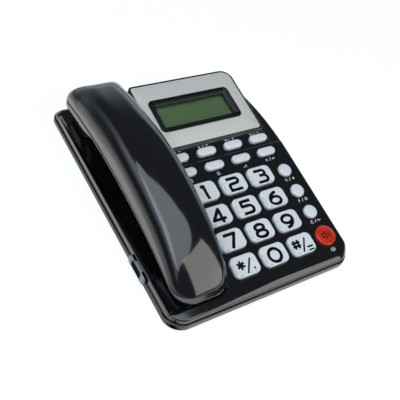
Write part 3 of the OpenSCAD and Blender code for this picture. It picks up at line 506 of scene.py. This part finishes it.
# ABS from a lightly etched mould: dark, with faint reflections that don't outshine the display
dull_black = plastic("etched_mould_black_abs", "#09090b", "#0d0d10", (0.16, 0.24), 0.2, 0.8, 0.02,
                     IOR=1.54, **{"Specular IOR Level": 0.22})
# Moulded cap with a clear gloss lacquer: cool white with crisp highlights
pale_cap = plastic("lacquered_pale_abs", "#cbcfd2", "#d2d5d8", (0.16, 0.24), 0.1, 1.6, 0.01, IOR=1.5,
                   **{"Coat Weight": 0.6, "Coat Roughness": 0.05})
# Tinted polycarbonate, moulded and lit from inside when in use: orange red with some depth
red_cap = plastic("moulded_red_polycarbonate", "#b5260f", "#c23014", (0.12, 0.2), 0.1, 1.6, 0.01, IOR=1.58,
                  **{"Subsurface Weight": 0.35, "Subsurface Radius": (0.004, 0.001, 0.0005),
                     "Subsurface Scale": 1.0})
# Pad-printed ink under the caps' clear lacquer: nearly black, and as glossy as the cap. It also draws the
# painted shade lines at the caps' left and front edges
black_ink_and_painted_shade = plastic("lacquered_black_ink_and_painted_shade", "#060608", "#0a0a0c", (0.12, 0.2), 0.1, 1.6, 0.005,
                    IOR=1.5)
# Pad-printed ink: pale grey, slightly broken up on the gloss
white_ink = plastic("pad_printed_grey_ink", "#a9acb0", "#b8bbbe", (0.4, 0.55), 0.2, 0.3, 0.005, IOR=1.5)
# Ink on the red cap under its gloss: dark brown red
red_ink = plastic("pad_printed_dark_red_ink", "#3a0c06", "#440f08", (0.14, 0.22), 0.1, 1.6, 0.005, IOR=1.5)
# Smoke-tinted polycarbonate, moulded: cloudy grey with a gloss
smoke = plastic("moulded_smoke_polycarbonate", "#74787b", "#85898c", (0.12, 0.2), 0.1, 1.5, 0.01, IOR=1.58)
# Painted shade: a black sheet without reflections, set deep in the jack's mouth where it lies in shade
painted_shade_black = plastic("black_painted_shade_sheet", "#030303", "#050505", (0.85, 1.0), 0.3, 0.6, 0.01, IOR=1.5,
                **{"Specular IOR Level": 0.1})
# Cast rubber: dull dark grey with a fine grain
rubber = plastic("cast_grey_rubber", "#2c2c2e", "#343437", (0.7, 0.85), 0.5, 0.6, 0.03, IOR=1.52)
# Fibre board with green solder mask: smooth, slightly glossy
board = plastic("solder_masked_fibre_board", "#12402a", "#175034", (0.3, 0.4), 0.2, 0.8, 0.01, IOR=1.55)


def metal(name, code, rough, grain):
    """A plain metal with a grain in mm, drawn coarser than the real one so that it shows."""
    material, tree, place = finish(name)
    streak = node(tree, "ShaderNodeTexNoise", {"Vector": place, "Scale": 1 / (grain * MM), "Detail": 3})
    range_ = node(tree, "ShaderNodeMapRange", {"Value": streak.outputs[0], "To Min": rough[0],
                                               "To Max": rough[1]})
    bump = node(tree, "ShaderNodeBump", {"Height": streak.outputs[0], "Strength": 0.2,
                                         "Distance": 0.01 * MM})
    shader = node(tree, "ShaderNodeBsdfPrincipled",
                  {"Base Color": colour(code), "Metallic": 1.0, "Roughness": range_.outputs["Result"],
                   "Normal": bump.outputs["Normal"]})
    node(tree, "ShaderNodeOutputMaterial", {"Surface": shader.outputs["BSDF"]})
    return material


# Zinc-plated steel, tumbled: grey with a soft gloss
steel = metal("zinc_plated_steel", "#a9abae", (0.25, 0.4), 0.3)


def silver_lacquer():
    """Sprayed silver lacquer on ABS: pale grey with metal flakes that glint, under a satin clear coat.

    Real flakes measure a few hundredths of a millimetre. They are drawn at 0.25 mm, so that they show.
    """
    material, tree, place = finish("sprayed_silver_lacquer")
    flakes = node(tree, "ShaderNodeTexVoronoi", {"Vector": place, "Scale": 1 / (0.25 * MM)})
    range_ = node(tree, "ShaderNodeMapRange", {"Value": flakes.outputs["Distance"], "From Max": 0.7,
                                               "To Min": 0.35, "To Max": 0.5})
    tone = node(tree, "ShaderNodeMix", {"Factor": flakes.outputs["Distance"], "A": colour("#d2cfc9"),
                                        "B": colour("#c8c6c1")}, data_type="RGBA")
    bump = node(tree, "ShaderNodeBump", {"Height": flakes.outputs["Distance"], "Strength": 0.12,
                                         "Distance": 0.01 * MM})
    shader = node(tree, "ShaderNodeBsdfPrincipled",
                  {"Base Color": tone.outputs["Result"], "Metallic": 0.25,
                   "Roughness": range_.outputs["Result"], "Normal": bump.outputs["Normal"],
                   "Coat Weight": 0.2, "Coat Roughness": 0.2})
    node(tree, "ShaderNodeOutputMaterial", {"Surface": shader.outputs["BSDF"]})
    return material


silver = silver_lacquer()


def display_finish():
    """Liquid crystal cell: grey green, with the faint grid of its dots.

    The real grid is about 0.5 mm. It is drawn at 0.8 mm, so that it shows.
    """
    material, tree, place = finish("liquid_crystal_cell")
    grid = node(tree, "ShaderNodeTexBrick",
                {"Vector": place, "Scale": 1 / (0.8 * MM), "Color1": colour("#627555"),
                 "Color2": colour("#5e7251"), "Mortar": colour("#5a6d4c"), "Mortar Size": 0.06,
                 "Brick Width": 1.0, "Row Height": 1.0},
                offset=0.0)
    shader = node(tree, "ShaderNodeBsdfPrincipled",
                  {"Base Color": grid.outputs["Color"], "Roughness": 0.25, "IOR": 1.5})
    node(tree, "ShaderNodeOutputMaterial", {"Surface": shader.outputs["BSDF"]})
    return material


lcd = display_finish()


def window_finish():
    """Cast acrylic sheet, polished: clear, with faint reflections."""
    material, tree, place = finish("polished_clear_acrylic")
    haze = node(tree, "ShaderNodeTexNoise", {"Vector": place, "Scale": 1 / 0.01, "Detail": 2})
    range_ = node(tree, "ShaderNodeMapRange", {"Value": haze.outputs[0], "To Min": 0.03, "To Max": 0.07})
    clear = node(tree, "ShaderNodeBsdfTransparent", {"Color": colour("#f4f7f4")})
    sheen = node(tree, "ShaderNodeBsdfGlossy", {"Roughness": range_.outputs["Result"]})
    front = node(tree, "ShaderNodeFresnel", {"IOR": 1.49})
    inner = node(tree, "ShaderNodeNewGeometry").outputs["Backfacing"]
    share = node(tree, "ShaderNodeMix", {"Factor": inner, "A": front.outputs[0], "B": 0.0})
    mixed = node(tree, "ShaderNodeMixShader",
                 {0: share.outputs["Result"], 1: clear.outputs[0], 2: sheen.outputs[0]})
    node(tree, "ShaderNodeOutputMaterial", {"Surface": mixed.outputs[0]})
    return material


acrylic = window_finish()


# Case
case = moulded("upper_case_moulding", upper_case, (-82, -109, 5), (84, 109, 44), 0.8, gloss_black, "base")
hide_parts("upper_case")
pan = moulded("lower_case_moulding", lower_case, (-82.5, -110, -0.6), (84.5, 110, 8.4), 1.0, gloss_black,
              "base")
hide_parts("lower_case")

# Handset
back_shell = moulded("handset_back_moulding", handset_back, (-75.5, -101.5, 17), (-28, 102, 62.5), 0.8,
                     gloss_black, "handset")
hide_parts("handset_top_shell")
front_shell = moulded("handset_front_moulding", handset_front, (-75.5, -101.5, 8.5), (-28, 102, 38.5), 0.8,
                      gloss_black, "handset")
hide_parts("handset_bottom_shell")


# Keys

def cap_rings(shape, low, top, edge, dish, inner):
    """Rings of a key cap: straight sides, a rounded edge and a top that dips by dish towards its middle."""
    rings = [layer(shape(0), low), layer(shape(0), top - edge)]
    for k in range(1, 5):
        angle = k * math.pi / 8
        rings.append(layer(shape(edge * (1 - math.cos(angle))), top - edge + edge * math.sin(angle)))
    for k in range(1, 6):
        t = k / 5
        rings.append(layer(shape(edge + t * inner), top - dish * (1 - (1 - t) ** 2)))
    return rings


def number_shape(inset):
    """Outline of a number key, drawn in by inset."""
    return outline(key_w - 2 * inset, key_l - 2 * inset, [max(key_r - inset, 0.6)] * 4)


def pill_ring(inset):
    """Outline of a function key, drawn in by inset."""
    return outline(pill_w - 2 * inset, pill_l - 2 * inset, [max(pill_l / 2 - inset - 0.05, 0.1)] * 4)


def round_ring(d):
    """Outline of a round key, as a function of how far it is drawn in."""
    return lambda inset: outline(d - 2 * inset, d - 2 * inset, [d / 2 - inset - 0.01] * 4)


number_names = ["key_1", "key_2", "key_3", "key_4", "key_5", "key_6", "key_7", "key_8", "key_9",
                "key_star", "key_0", "key_hash"]
number_places = {name: (key_x + (i % 3 - 1) * key_step_x, key_y + (3 - i // 3) * key_step_y)
                 for i, name in enumerate(number_names)}
for name, (x, v) in number_places.items():
    cap = lofted(name + "_cap", cap_rings(number_shape, flange_low, key_rise, key_edge, key_dish, dish_in),
                 at_face(x, v), pale_cap, name)
    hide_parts(name)
pill_places = {f"function_key_{i + 1}": (pill_x + (i % 4 - 1.5) * pill_step_x,
                                         pill_y + (1 - i // 4) * pill_step_y) for i in range(8)}
for name, (x, v) in pill_places.items():
    cap = lofted(name + "_cap", cap_rings(pill_ring, flange_low, key_rise, 1.2, -0.25, 2.2), at_face(x, v),
                 pale_cap, name)
    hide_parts(name)
dot_places = {f"side_key_{i + 1}": (dot_x, dot_y - i * dot_step) for i in range(3)}
for name, (x, v) in dot_places.items():
    cap = lofted(name + "_cap", cap_rings(round_ring(dot_d), flange_low, key_rise - 0.3, 1.2, -0.5, 4.4),
                 at_face(x, v), pale_cap, name)
    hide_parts(name)
# The red key has a raised ring round a shallow dome
red_ring = round_ring(red_d)
rings = [layer(red_ring(0), flange_low), layer(red_ring(0), key_rise - 0.7)]
for k in range(1, 9):
    angle = k * math.pi / 8
    rings.append(layer(red_ring(0.9 * (1 - math.cos(angle))), key_rise - 0.7 + 0.7 * math.sin(angle)))
for k in range(1, 7):
    t = k / 6
    rings.append(layer(red_ring(1.8 + 6.4 * t), key_rise - 0.7 + 0.45 * math.sin(t * math.pi / 2)))
red = lofted("red_key_cap", rings, at_face(dot_x, key_y), red_cap, "red_key")
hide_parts("red_key")


# Marks printed on keys and face

def arc(x, y, rx, ry, start, end, steps=14):
    """Points of an arc, in degrees."""
    turn = np.radians(np.linspace(start, end, steps))
    return [(x + rx * math.cos(a), y + ry * math.sin(a)) for a in turn]


def stroke_distance(x, y, strokes, half):
    """Distance from pen strokes with square ends and round bends."""
    near = np.full(x.shape, 1e3)
    for line in strokes:
        for k in range(len(line) - 1):
            (ax, ay), (bx, by) = line[k], line[k + 1]
            length = math.hypot(bx - ax, by - ay)
            tx, ty = (bx - ax) / length, (by - ay) / length
            along = (x - ax) * tx + (y - ay) * ty
            across = np.abs((x - ax) * ty - (y - ay) * tx)
            near = np.minimum(near, np.maximum(np.abs(along - length / 2) - length / 2, across - half))
            if k > 0 or line[0] == line[-1]:
                near = np.minimum(near, np.hypot(x - ax, y - ay) - half)
    return near


def printed(name, distance, low, high, cell, lift, place, material, body):
    """A thin printed mark: the part of a grid inside a flat distance, cut cleanly at its edge."""
    nx, ny = (int(math.ceil((high[k] - low[k]) / cell)) + 1 for k in (0, 1))
    gx, gy = low[0] + cell * np.arange(nx), low[1] + cell * np.arange(ny)
    value = distance(*np.meshgrid(gx, gy, indexing="ij"))
    points, number, faces = [], {}, []

    def corner(i, j):
        if (i, j) not in number:
            number[i, j] = len(points)
            points.append((gx[i], gy[j]))
        return number[i, j]

    def crossing(a, b):
        key = (min(a, b), max(a, b), 0)
        if key not in number:
            share = value[a] / (value[a] - value[b])
            number[key] = len(points)
            points.append((gx[a[0]] + share * (gx[b[0]] - gx[a[0]]),
                           gy[a[1]] + share * (gy[b[1]] - gy[a[1]])))
        return number[key]

    for i in range(nx - 1):
        for j in range(ny - 1):
            square = [(i, j), (i + 1, j), (i + 1, j + 1), (i, j + 1)]
            if not (value[i:i + 2, j:j + 2] < 0).any():
                continue
            face = []
            for k in range(4):
                a, b = square[k], square[(k + 1) % 4]
                if value[a] < 0:
                    face.append(corner(*a))
                if (value[a] < 0) != (value[b] < 0):
                    face.append(crossing(a, b))
            if len(face) > 2:
                faces.append(face)
    flat = np.array(points)
    return add_piece(name, place(layer(flat, lift(flat[:, 0], flat[:, 1]))), faces, material, body)


def spokes(x, y, r):
    """Three lines through a point, as a star."""
    return [[(x + r * math.cos(a), y + r * math.sin(a)), (x - r * math.cos(a), y - r * math.sin(a))]
            for a in (math.pi / 2, math.pi / 6, -math.pi / 6)]


def rays(inner, outer):
    """Eight short lines round the origin."""
    return [[(inner * math.cos(a), inner * math.sin(a)), (outer * math.cos(a), outer * math.sin(a))]
            for a in np.arange(8) * math.pi / 4]


# Strokes of the digits and of the two marks beside 0, about the middle of a key
digits = {
    "key_1": [[(0.4, -5.7), (0.4, 5.7)], [(-2.2, 4.0), (0.4, 5.0)]],
    "key_2": [[(-5.0, 4.6)] + arc(2.2, 2.6, 2.1, 2.0, 90, -80) + arc(-2.0, -1.6, 2.1, 2.0, 100, 180)
              + [(-4.1, -4.6), (5.1, -4.6)]],
    "key_3": [[(-4.8, 4.6)] + arc(1.9, 2.6, 2.0, 2.0, 90, -90) + [(-1.6, 0.55)],
              arc(1.9, -2.1, 2.6, 2.55, 90, -90) + [(-4.8, -4.65)]],
    "key_4": [[(1.9, 5.0), (-4.9, -2.6), (5.3, -2.6)], [(1.9, 5.7), (1.9, -5.7)]],
    "key_5": [[(4.5, 4.6), (-3.7, 4.6), (-3.9, 0.9)] + arc(1.6, -1.9, 2.8, 2.75, 90, -90)
              + [(-4.9, -4.65)]],
    "key_6": [arc(0.2, -1.7, 4.4, 3.0, 0, 360, 30), arc(3.6, -1.9, 7.8, 6.5, 176, 95, 14)],
    "key_7": [[(-5.0, 4.6), (4.0, 4.6), (-1.9, -5.7)]],
    "key_8": [arc(0, 2.5, 3.6, 2.15, 0, 360, 26), arc(0, -2.2, 4.3, 2.5, 0, 360, 28)],
    "key_9": [arc(-0.2, 1.7, 4.4, 3.0, 0, 360, 30), arc(-3.6, 1.9, 7.8, 6.5, -4, -85, 14)],
    "key_0": [arc(0, 0, 4.8, 4.75, 0, 360, 36)],
    "key_star": spokes(-3.7, 1.4, 3.6),
    "key_hash": [[(-6.4, 5.2), (-7.0, -2.2)], [(-2.9, 5.2), (-3.5, -2.2)], [(-8.7, 2.9), (-1.2, 2.9)],
                 [(-8.9, 0.1), (-1.4, 0.1)]],
}
thin_marks = {"key_star": [[(5.9, 5.0), (-1.1, -6.0)], [(5.3, -3.5), (6.9, -3.5)]],
              "key_hash": [[(4.6, 5.0), (-2.0, -6.0)], [(2.9, -3.1), (8.3, -3.1)],
                           [(2.9, -5.9), (8.3, -5.9)]]}


ink_t = 0.03


def key_top(x, y):
    """Height of a number key's dished top, with the ink's own thickness."""
    inset = np.minimum(key_w / 2 - np.abs(x), key_l / 2 - np.abs(y))
    t = np.clip((inset - key_edge) / dish_in, 0, 1)
    edge = np.clip(key_edge - inset, 0, key_edge)
    return key_rise - key_dish * (1 - (1 - t) ** 2) - key_edge + np.sqrt(key_edge ** 2 - edge ** 2) + ink_t


# Painted shade: broken dark lines along the left and front edge of each cap, where the edge lies in shade
painted_edge_shade = [[(-9.8, 2.6), (-9.8, -0.2)],
              [(-9.8, -1)] + arc(-6.4, -3.8, 3.4, 3.3, 180, 262) + [(-5.2, -7.1)],
              [(1.2, -7.2), (2.6, -7.2)], [(5, -7.2), (6.2, -7.1)]]


def key_print(name):
    """Distance from a number key's marks: its printed digit, its printed thin marks and the painted shade
    lines at its edges.
    """
    heavy = 0.95 if name in thin_marks else 1.3
    wide, tall = (1, 1) if name in thin_marks else (1.08, 1.12)
    strokes = [[(wide * px, tall * py - 0.8) for px, py in line] for line in digits[name]]
    thin = [[(px, py - 0.8) for px, py in line] for line in thin_marks.get(name, [])]

    def distance(x, y):
        marks = np.minimum(stroke_distance(x, y, strokes, heavy), stroke_distance(x, y, thin, 0.7))
        return np.minimum(marks, stroke_distance(x, y, painted_edge_shade, 0.17))

    return distance


# Each key's printed digit and marks, with painted shade lines at the cap's left and front edges, in black
for name, (x, v) in number_places.items():
    mark = printed(name + "_digit_and_painted_shade", key_print(name), (-10.2, -7.6), (10, 7.4), 0.25, key_top, at_face(x, v),
                   black_ink_and_painted_shade, name)

# Small signs in place of words, as pen strokes
signs = {
    "up": [[(0, -1.2), (0, 1.0)], [(-0.9, 0.2), (0, 1.1), (0.9, 0.2)]],
    "down": [[(0, 1.2), (0, -1.0)], [(-0.9, -0.2), (0, -1.1), (0.9, -0.2)]],
    "left": [[(1.3, 0), (-1.1, 0)], [(-0.3, 0.9), (-1.2, 0), (-0.3, -0.9)]],
    "right": [[(-1.3, 0), (1.1, 0)], [(0.3, 0.9), (1.2, 0), (0.3, -0.9)]],
    "slash": [[(-0.6, -1.3), (0.6, 1.3)]],
    "minus": [[(-1, 0), (1, 0)]],
    "plus": [[(-1, 0), (1, 0)], [(0, -1), (0, 1)]],
    "times": [[(-0.8, -0.8), (0.8, 0.8)], [(-0.8, 0.8), (0.8, -0.8)]],
    "divide": [[(-1, 0), (1, 0)], [(0, 0.7), (0, 1.2)], [(0, -0.7), (0, -1.2)]],
    "ring": [arc(0, 0, 1, 1, 0, 360)],
    "grid": [[(-1.2, -1.2), (1.2, -1.2), (1.2, 1.2), (-1.2, 1.2), (-1.2, -1.2)], [(-1.2, 0), (1.2, 0)],
             [(0, -1.2), (0, 1.2)]],
    "bell": [[(-1.3, -0.9), (1.3, -0.9)], [(0.8, -0.9)] + arc(0, 0.2, 0.8, 0.9, 0, 180) + [(-0.8, -0.9)]],
    "bars": [[(-1.2, -1.2), (-1.2, -0.4)], [(0, -1.2), (0, 0.4)], [(1.2, -1.2), (1.2, 1.2)]],
    "pause": [[(-0.6, -1.1), (-0.6, 1.1)], [(0.6, -1.1), (0.6, 1.1)]],
    "star": spokes(0, 0, 1),
    "bolt": [[(0.5, 1.3), (-0.6, -0.1), (0.6, 0.1), (-0.5, -1.3)]],
    "sun": [arc(0, 0, 0.6, 0.6, 0, 360)] + rays(0.9, 1.35),
    "turn": [arc(0, 0, 1, 1, 60, 340), [(0.2, 1.4), (0.6, 0.9), (0.1, 0.4)]],
    "speaker": [[(-1.5, -0.6), (-0.8, -0.6), (0.1, -1.3), (0.1, 1.3), (-0.8, 0.6), (-1.5, 0.6),
                 (-1.5, -0.6)],
                arc(0.2, 0, 0.8, 0.8, -50, 50), arc(0.2, 0, 1.5, 1.5, -50, 50)],
}
sign_step = 3.6


def sign_distance(names):
    """Distance from a row of signs, side by side about the origin."""
    strokes = [[(1.2 * x + sign_step * (i - (len(names) - 1) / 2), 1.2 * y) for x, y in line]
               for i, name in enumerate(names) for line in signs[name]]
    return lambda x, y: stroke_distance(x, y, strokes, 0.27)


above, below, under_dot = pill_y + pill_step_y + 6.1, pill_y - 7.4, 8.7
labels = {
    "function_key_1": (above, "up slash minus"),
    "function_key_2": (above, "down slash plus"),
    "function_key_3": (above, "right slash times"),
    "function_key_4": (above, "ring slash divide"),
    "function_key_5": (below, "grid"),
    "function_key_6": (below, "bell"),
    "function_key_7": (below, "bars"),
    "function_key_8": (below, "times slash left"),
    "side_key_1": (dot_y - under_dot, "pause slash star"),
    "side_key_2": (dot_y - dot_step - under_dot, "bolt slash sun"),
    "side_key_3": (dot_y - 2 * dot_step - under_dot, "turn slash left"),
    "red_key": (10.4, "speaker"),
}
label_x = {**{name: place[0] for name, place in {**pill_places, **dot_places}.items()}, "red_key": dot_x}


def face_lift(v):
    """Height of the face under a label, which lies lower past the crease."""
    return lambda x, y: ink_t - crease_in * ease((v + y - crease_v) / crease_l)


for name, (v, row) in labels.items():
    row = row.split()
    half = sign_step * len(row) / 2 + 0.4
    mark = printed(name + "_mark", sign_distance(row), (-half, -2), (half, 2), 0.18, face_lift(v),
                   at_face(label_x[name], v), white_ink, "base")


def speaker_sign(x, y):
    """Distance from the large sign on the red key."""
    return stroke_distance(x / 2.3, y / 2.3, signs["speaker"], 0.2) * 2.3


def red_dome(x, y):
    """Height of the red key's shallow dome, with the ink's own thickness."""
    t = np.clip((np.hypot(x, y) - 0.3) / 6.4, 0, 1)
    return key_rise - 0.7 + ink_t + 0.45 * np.cos(t * math.pi / 2)


mark = printed("red_key_sign", speaker_sign, (-5, -4.5), (5, 4.5), 0.25, red_dome, at_face(dot_x, key_y),
               red_ink, "red_key")

# Silver panel and display
panel_x, panel_y = (block_x + hood_right) / 2, hood_y + hood_l / 2
panel_w, panel_l = hood_right - block_x - 4, hood_l - 4


def panel_ring(inset):
    """Outline of the silver panel, drawn in by inset."""
    radii = [r - inset for r in (2.6, 2.6, 8, 2)]
    return outline(panel_w - 2 * inset, panel_l - 2 * inset, radii)


def bezel_ring(inset, r):
    """Outline of the display frame, drawn in by inset, with corners of radius r."""
    return outline(bezel_w - 2 * inset, bezel_l - 2 * inset, (r,) * 4)


hole = outline(display_hole_w, display_hole_l, (display_hole_r,) * 4)
hole = hole + np.array([display_x - panel_x, display_y - panel_y])
rings = [layer(panel_ring(0), hood_rise - 0.8), layer(panel_ring(0), hood_rise - 0.25),
         layer(panel_ring(0.08), hood_rise - 0.08), layer(panel_ring(0.3), hood_rise),
         layer(hole, hood_rise), layer(hole, hood_rise - 0.8)]
panel = lofted("silver_panel", rings, at_face(panel_x, panel_y), silver, "base", closed=True)
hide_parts("display_panel")
top = hood_rise + fit + bezel_rise
rings = [layer(bezel_ring(0, 4), hood_rise + 0.02), layer(bezel_ring(0, 4), top - 0.6),
         layer(bezel_ring(0.18, 3.8), top - 0.18), layer(bezel_ring(0.6, 3.4), top),
         layer(bezel_ring(1.5, 2.6), top), layer(bezel_ring(1.8, 2.4), top - 0.12),
         layer(bezel_ring(5.2, 1.2), top - 2.6), layer(bezel_ring(5.4, 1.0), top - 3.6),
         layer(bezel_ring(2.7, 2.0), top - 3.6), layer(bezel_ring(2.7, 2.0), hood_rise + 0.02)]
bezel = lofted("display_frame", rings, at_face(display_x, display_y), dull_black, "base", closed=True)
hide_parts("display_bezel")

# Solids that are shown as they are, by finish
shown = (
    (acrylic, ["display_window"]),
    (lcd, ["lcd_glass"]),
    (board, ["lcd_board", "main_board"]),
    (rubber, ["keypad_mat", "rubber_feet"]),
    (satin_black, ["loudspeaker", "hook_switch", "line_jack"]),
    (pale_cap, ["hook_plunger"]),
    (smoke, ["handset_socket"]),
    (steel, ["board_screws", "handsfree_microphone", "hook_spring", "case_screws", "ear_capsule",
             "handset_microphone", "handset_weight", "handset_screws"]),
)
for finish_used, names in shown:
    for name in names:
        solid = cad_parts[name]
        solid.data.materials.clear()
        solid.data.materials.append(finish_used)

# Handset jack: a smoky moulding, with a black sheet in its mouth as painted shade
boss = moulded("handset_jack_moulding", jack_boss, (left_x - 2.2, jack_y - 12.6, jack_low - 0.4),
               (left_x + 12.4, jack_y + 12.6, jack_low + 8.2), 0.4, smoke, "base")
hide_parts("handset_jack")
# Painted shade: a black plug across the mouth, a little way in
mouth_edge = outline(jack_mouth_w - 0.1, jack_mouth_h - 0.1, (1.4,) * 4)
shade_sheet = [np.column_stack([np.full(len(mouth_edge), out), mouth_edge]) for out in (-1.3, -0.75)]
inside = lofted("handset_jack_painted_shade", shade_sheet, at_point(left_x, jack_y, jack_low + plug_h / 2 + 1), painted_shade_black,
                "base")

# Studio
scene = bpy.context.scene
scene.view_settings.view_transform = "Standard"


def floor_finish():
    """Paper sweep: white to the eye, with the shadow kept. Reflections see a painted glow, brightest near
    the base, and a painted shadow under the base.
    """
    material, tree, place = finish("white_paper_sweep")
    fibre = node(tree, "ShaderNodeTexNoise", {"Vector": place, "Scale": 1 / 0.004, "Detail": 3})
    tone = node(tree, "ShaderNodeMix", {"Factor": fibre.outputs[0], "A": colour("#fafafa"),
                                        "B": colour("#ffffff")}, data_type="RGBA")
    paper = node(tree, "ShaderNodeBsdfDiffuse", {"Color": tone.outputs["Result"]})
    away = node(tree, "ShaderNodeVectorMath", {0: place}, operation="LENGTH")
    # Painted light pool: the glow that reflections see is brightest near the base and fades away from it
    painted_light_pool = node(tree, "ShaderNodeMapRange", {"Value": away.outputs["Value"], "From Min": 0.15,
                                             "From Max": 0.5, "To Min": 0.85, "To Max": 0.25})
    parts = node(tree, "ShaderNodeSeparateXYZ", {0: place})
    # Painted shadow: the mask clear is zero under the base's footprint, so reflections see no glow there
    outside = []
    for axis, half in (("X", body_w / 2), ("Y", body_l / 2)):
        from_middle = node(tree, "ShaderNodeMath", {0: parts.outputs[axis]}, operation="ABSOLUTE")
        past_painted_shadow = node(tree, "ShaderNodeMapRange",
                      {"Value": from_middle.outputs[0], "From Min": (half - 1) * MM,
                       "From Max": (half + 3) * MM})
        outside.append(past_painted_shadow.outputs["Result"])
    clear = node(tree, "ShaderNodeMath", {0: outside[0], 1: outside[1]}, operation="MAXIMUM")
    painted_light_pool = node(tree, "ShaderNodeMath", {0: painted_light_pool.outputs["Result"], 1: clear.outputs[0]},
                operation="MULTIPLY")
    path = node(tree, "ShaderNodeLightPath")
    mirrored = node(tree, "ShaderNodeMath", {0: path.outputs["Is Glossy Ray"],
                                             1: path.outputs["Is Transmission Ray"]}, operation="MAXIMUM")
    level = node(tree, "ShaderNodeMix", {"Factor": mirrored.outputs[0], "A": 1.08, "B": painted_light_pool.outputs[0]})
    glow = node(tree, "ShaderNodeEmission", {"Color": colour("#ffffff"),
                                             "Strength": level.outputs["Result"]})
    share = node(tree, "ShaderNodeMath", {0: path.outputs["Is Camera Ray"], 1: 0.7}, operation="MULTIPLY")
    share = node(tree, "ShaderNodeMath", {0: share.outputs[0], 1: mirrored.outputs[0]}, operation="MAXIMUM")
    mixed = node(tree, "ShaderNodeMixShader",
                 {0: share.outputs[0], 1: paper.outputs[0], 2: glow.outputs[0]})
    node(tree, "ShaderNodeOutputMaterial", {"Surface": mixed.outputs[0]})
    return material


reach = 3000 * MM
floor_mesh = bpy.data.meshes.new("paper_sweep")
floor_mesh.from_pydata([(-reach, -reach, 0), (reach, -reach, 0), (reach, reach, 0), (-reach, reach, 0)], [],
                       [(0, 1, 2, 3)])
floor_mesh.materials.append(floor_finish())
floor = bpy.data.objects.new("paper_sweep", floor_mesh)
scene.collection.objects.link(floor)

# A dim room with a pale backdrop behind the table and a lit screen at its left. The camera sees white
world = bpy.data.worlds.new("dim_studio")
world.use_nodes = True
room = world.node_tree
room.nodes.clear()
way = node(room, "ShaderNodeTexCoord").outputs["Generated"]
height = node(room, "ShaderNodeSeparateXYZ", {0: way}).outputs["Z"]
low = node(room, "ShaderNodeMapRange", {"Value": height, "From Min": 0.0, "From Max": 0.55,
                                        "To Min": 1.0, "To Max": 0.0}, interpolation_type="SMOOTHSTEP")
back = node(room, "ShaderNodeVectorMath", {0: way, 1: (0.5, 0.87, 0.0)}, operation="DOT_PRODUCT")
behind = node(room, "ShaderNodeMapRange", {"Value": back.outputs["Value"], "From Min": 0.2,
                                           "From Max": 0.9}, interpolation_type="SMOOTHSTEP")
backdrop = node(room, "ShaderNodeMath", {0: low.outputs["Result"], 1: behind.outputs["Result"]},
                operation="MULTIPLY")
left = node(room, "ShaderNodeVectorMath", {0: way, 1: (-1.0, 0.05, 0.0)}, operation="DOT_PRODUCT")
beside = node(room, "ShaderNodeMapRange", {"Value": left.outputs["Value"], "From Min": 0.3,
                                           "From Max": 0.6}, interpolation_type="SMOOTHSTEP")
rise = node(room, "ShaderNodeMapRange", {"Value": height, "From Min": 0.25, "From Max": 0.75},
            interpolation_type="SMOOTHSTEP")
screen = node(room, "ShaderNodeMath", {0: beside.outputs["Result"], 1: rise.outputs["Result"]},
              operation="MULTIPLY")
level = node(room, "ShaderNodeMath", {0: backdrop.outputs[0], 1: 1.0, 2: 0.12}, operation="MULTIPLY_ADD")
level = node(room, "ShaderNodeMath", {0: screen.outputs[0], 1: 1.7, 2: level.outputs[0]},
             operation="MULTIPLY_ADD")
dim = node(room, "ShaderNodeBackground", {"Color": colour("#d8e4f0"), "Strength": level.outputs[0]})
white = node(room, "ShaderNodeBackground", {"Color": colour("#ffffff"), "Strength": 1.0})
seen = node(room, "ShaderNodeMixShader", {0: node(room, "ShaderNodeLightPath").outputs["Is Camera Ray"],
                                          1: dim.outputs[0], 2: white.outputs[0]})
node(room, "ShaderNodeOutputWorld", {"Surface": seen.outputs[0]})
scene.world = world


def softbox(name, azimuth, elevation, away, size, radiance, tint, aside=(0, 0), shape="RECTANGLE"):
    """A soft lamp facing the handset: direction in degrees, distance and size in metres, brightness."""
    lamp = bpy.data.lights.new(name, "AREA")
    lamp.shape = shape
    lamp.size, lamp.size_y = size
    filled = math.pi / 4 if shape == "ELLIPSE" else 1
    lamp.energy = radiance * math.pi * size[0] * size[1] * filled
    lamp.color = colour(tint)[:3]
    holder = bpy.data.objects.new(name, lamp)
    turned = Matrix.Rotation(math.radians(azimuth + 90), 4, "Z")
    turned = turned @ Matrix.Rotation(math.radians(90 - elevation), 4, "X")
    holder.matrix_world = Matrix.Translation((-0.05, 0, 0.04)) @ turned @ Matrix.Translation((*aside, away))
    scene.collection.objects.link(holder)


softbox("overhead_softbox", -90, 90, 0.96, (1.73, 1.73), 1.85, "#edf7ff", aside=(-0.38, -0.36),
        shape="ELLIPSE")
softbox("front_softbox", -59.5, 23, 1.2, (0.74, 1.02), 2.1, "#fffffa")

# Camera of the photograph
camera_data = bpy.data.cameras.new("photo_camera")
camera_data.sensor_width = 36
camera_data.lens = 54.5
camera = bpy.data.objects.new("photo_camera", camera_data)
right = Vector((0.84382, -0.48304, 0.23377))
down = Vector((-0.25268, -0.74196, -0.62101))
ahead = Vector((0.47342, 0.46495, -0.74813))
columns = Matrix((right, -down, -ahead)).transposed().to_4x4()
camera.matrix_world = Matrix.Translation(Vector((-231.9, -237.5, 363.8)) * MM) @ columns
scene.collection.objects.link(camera)
scene.camera = camera
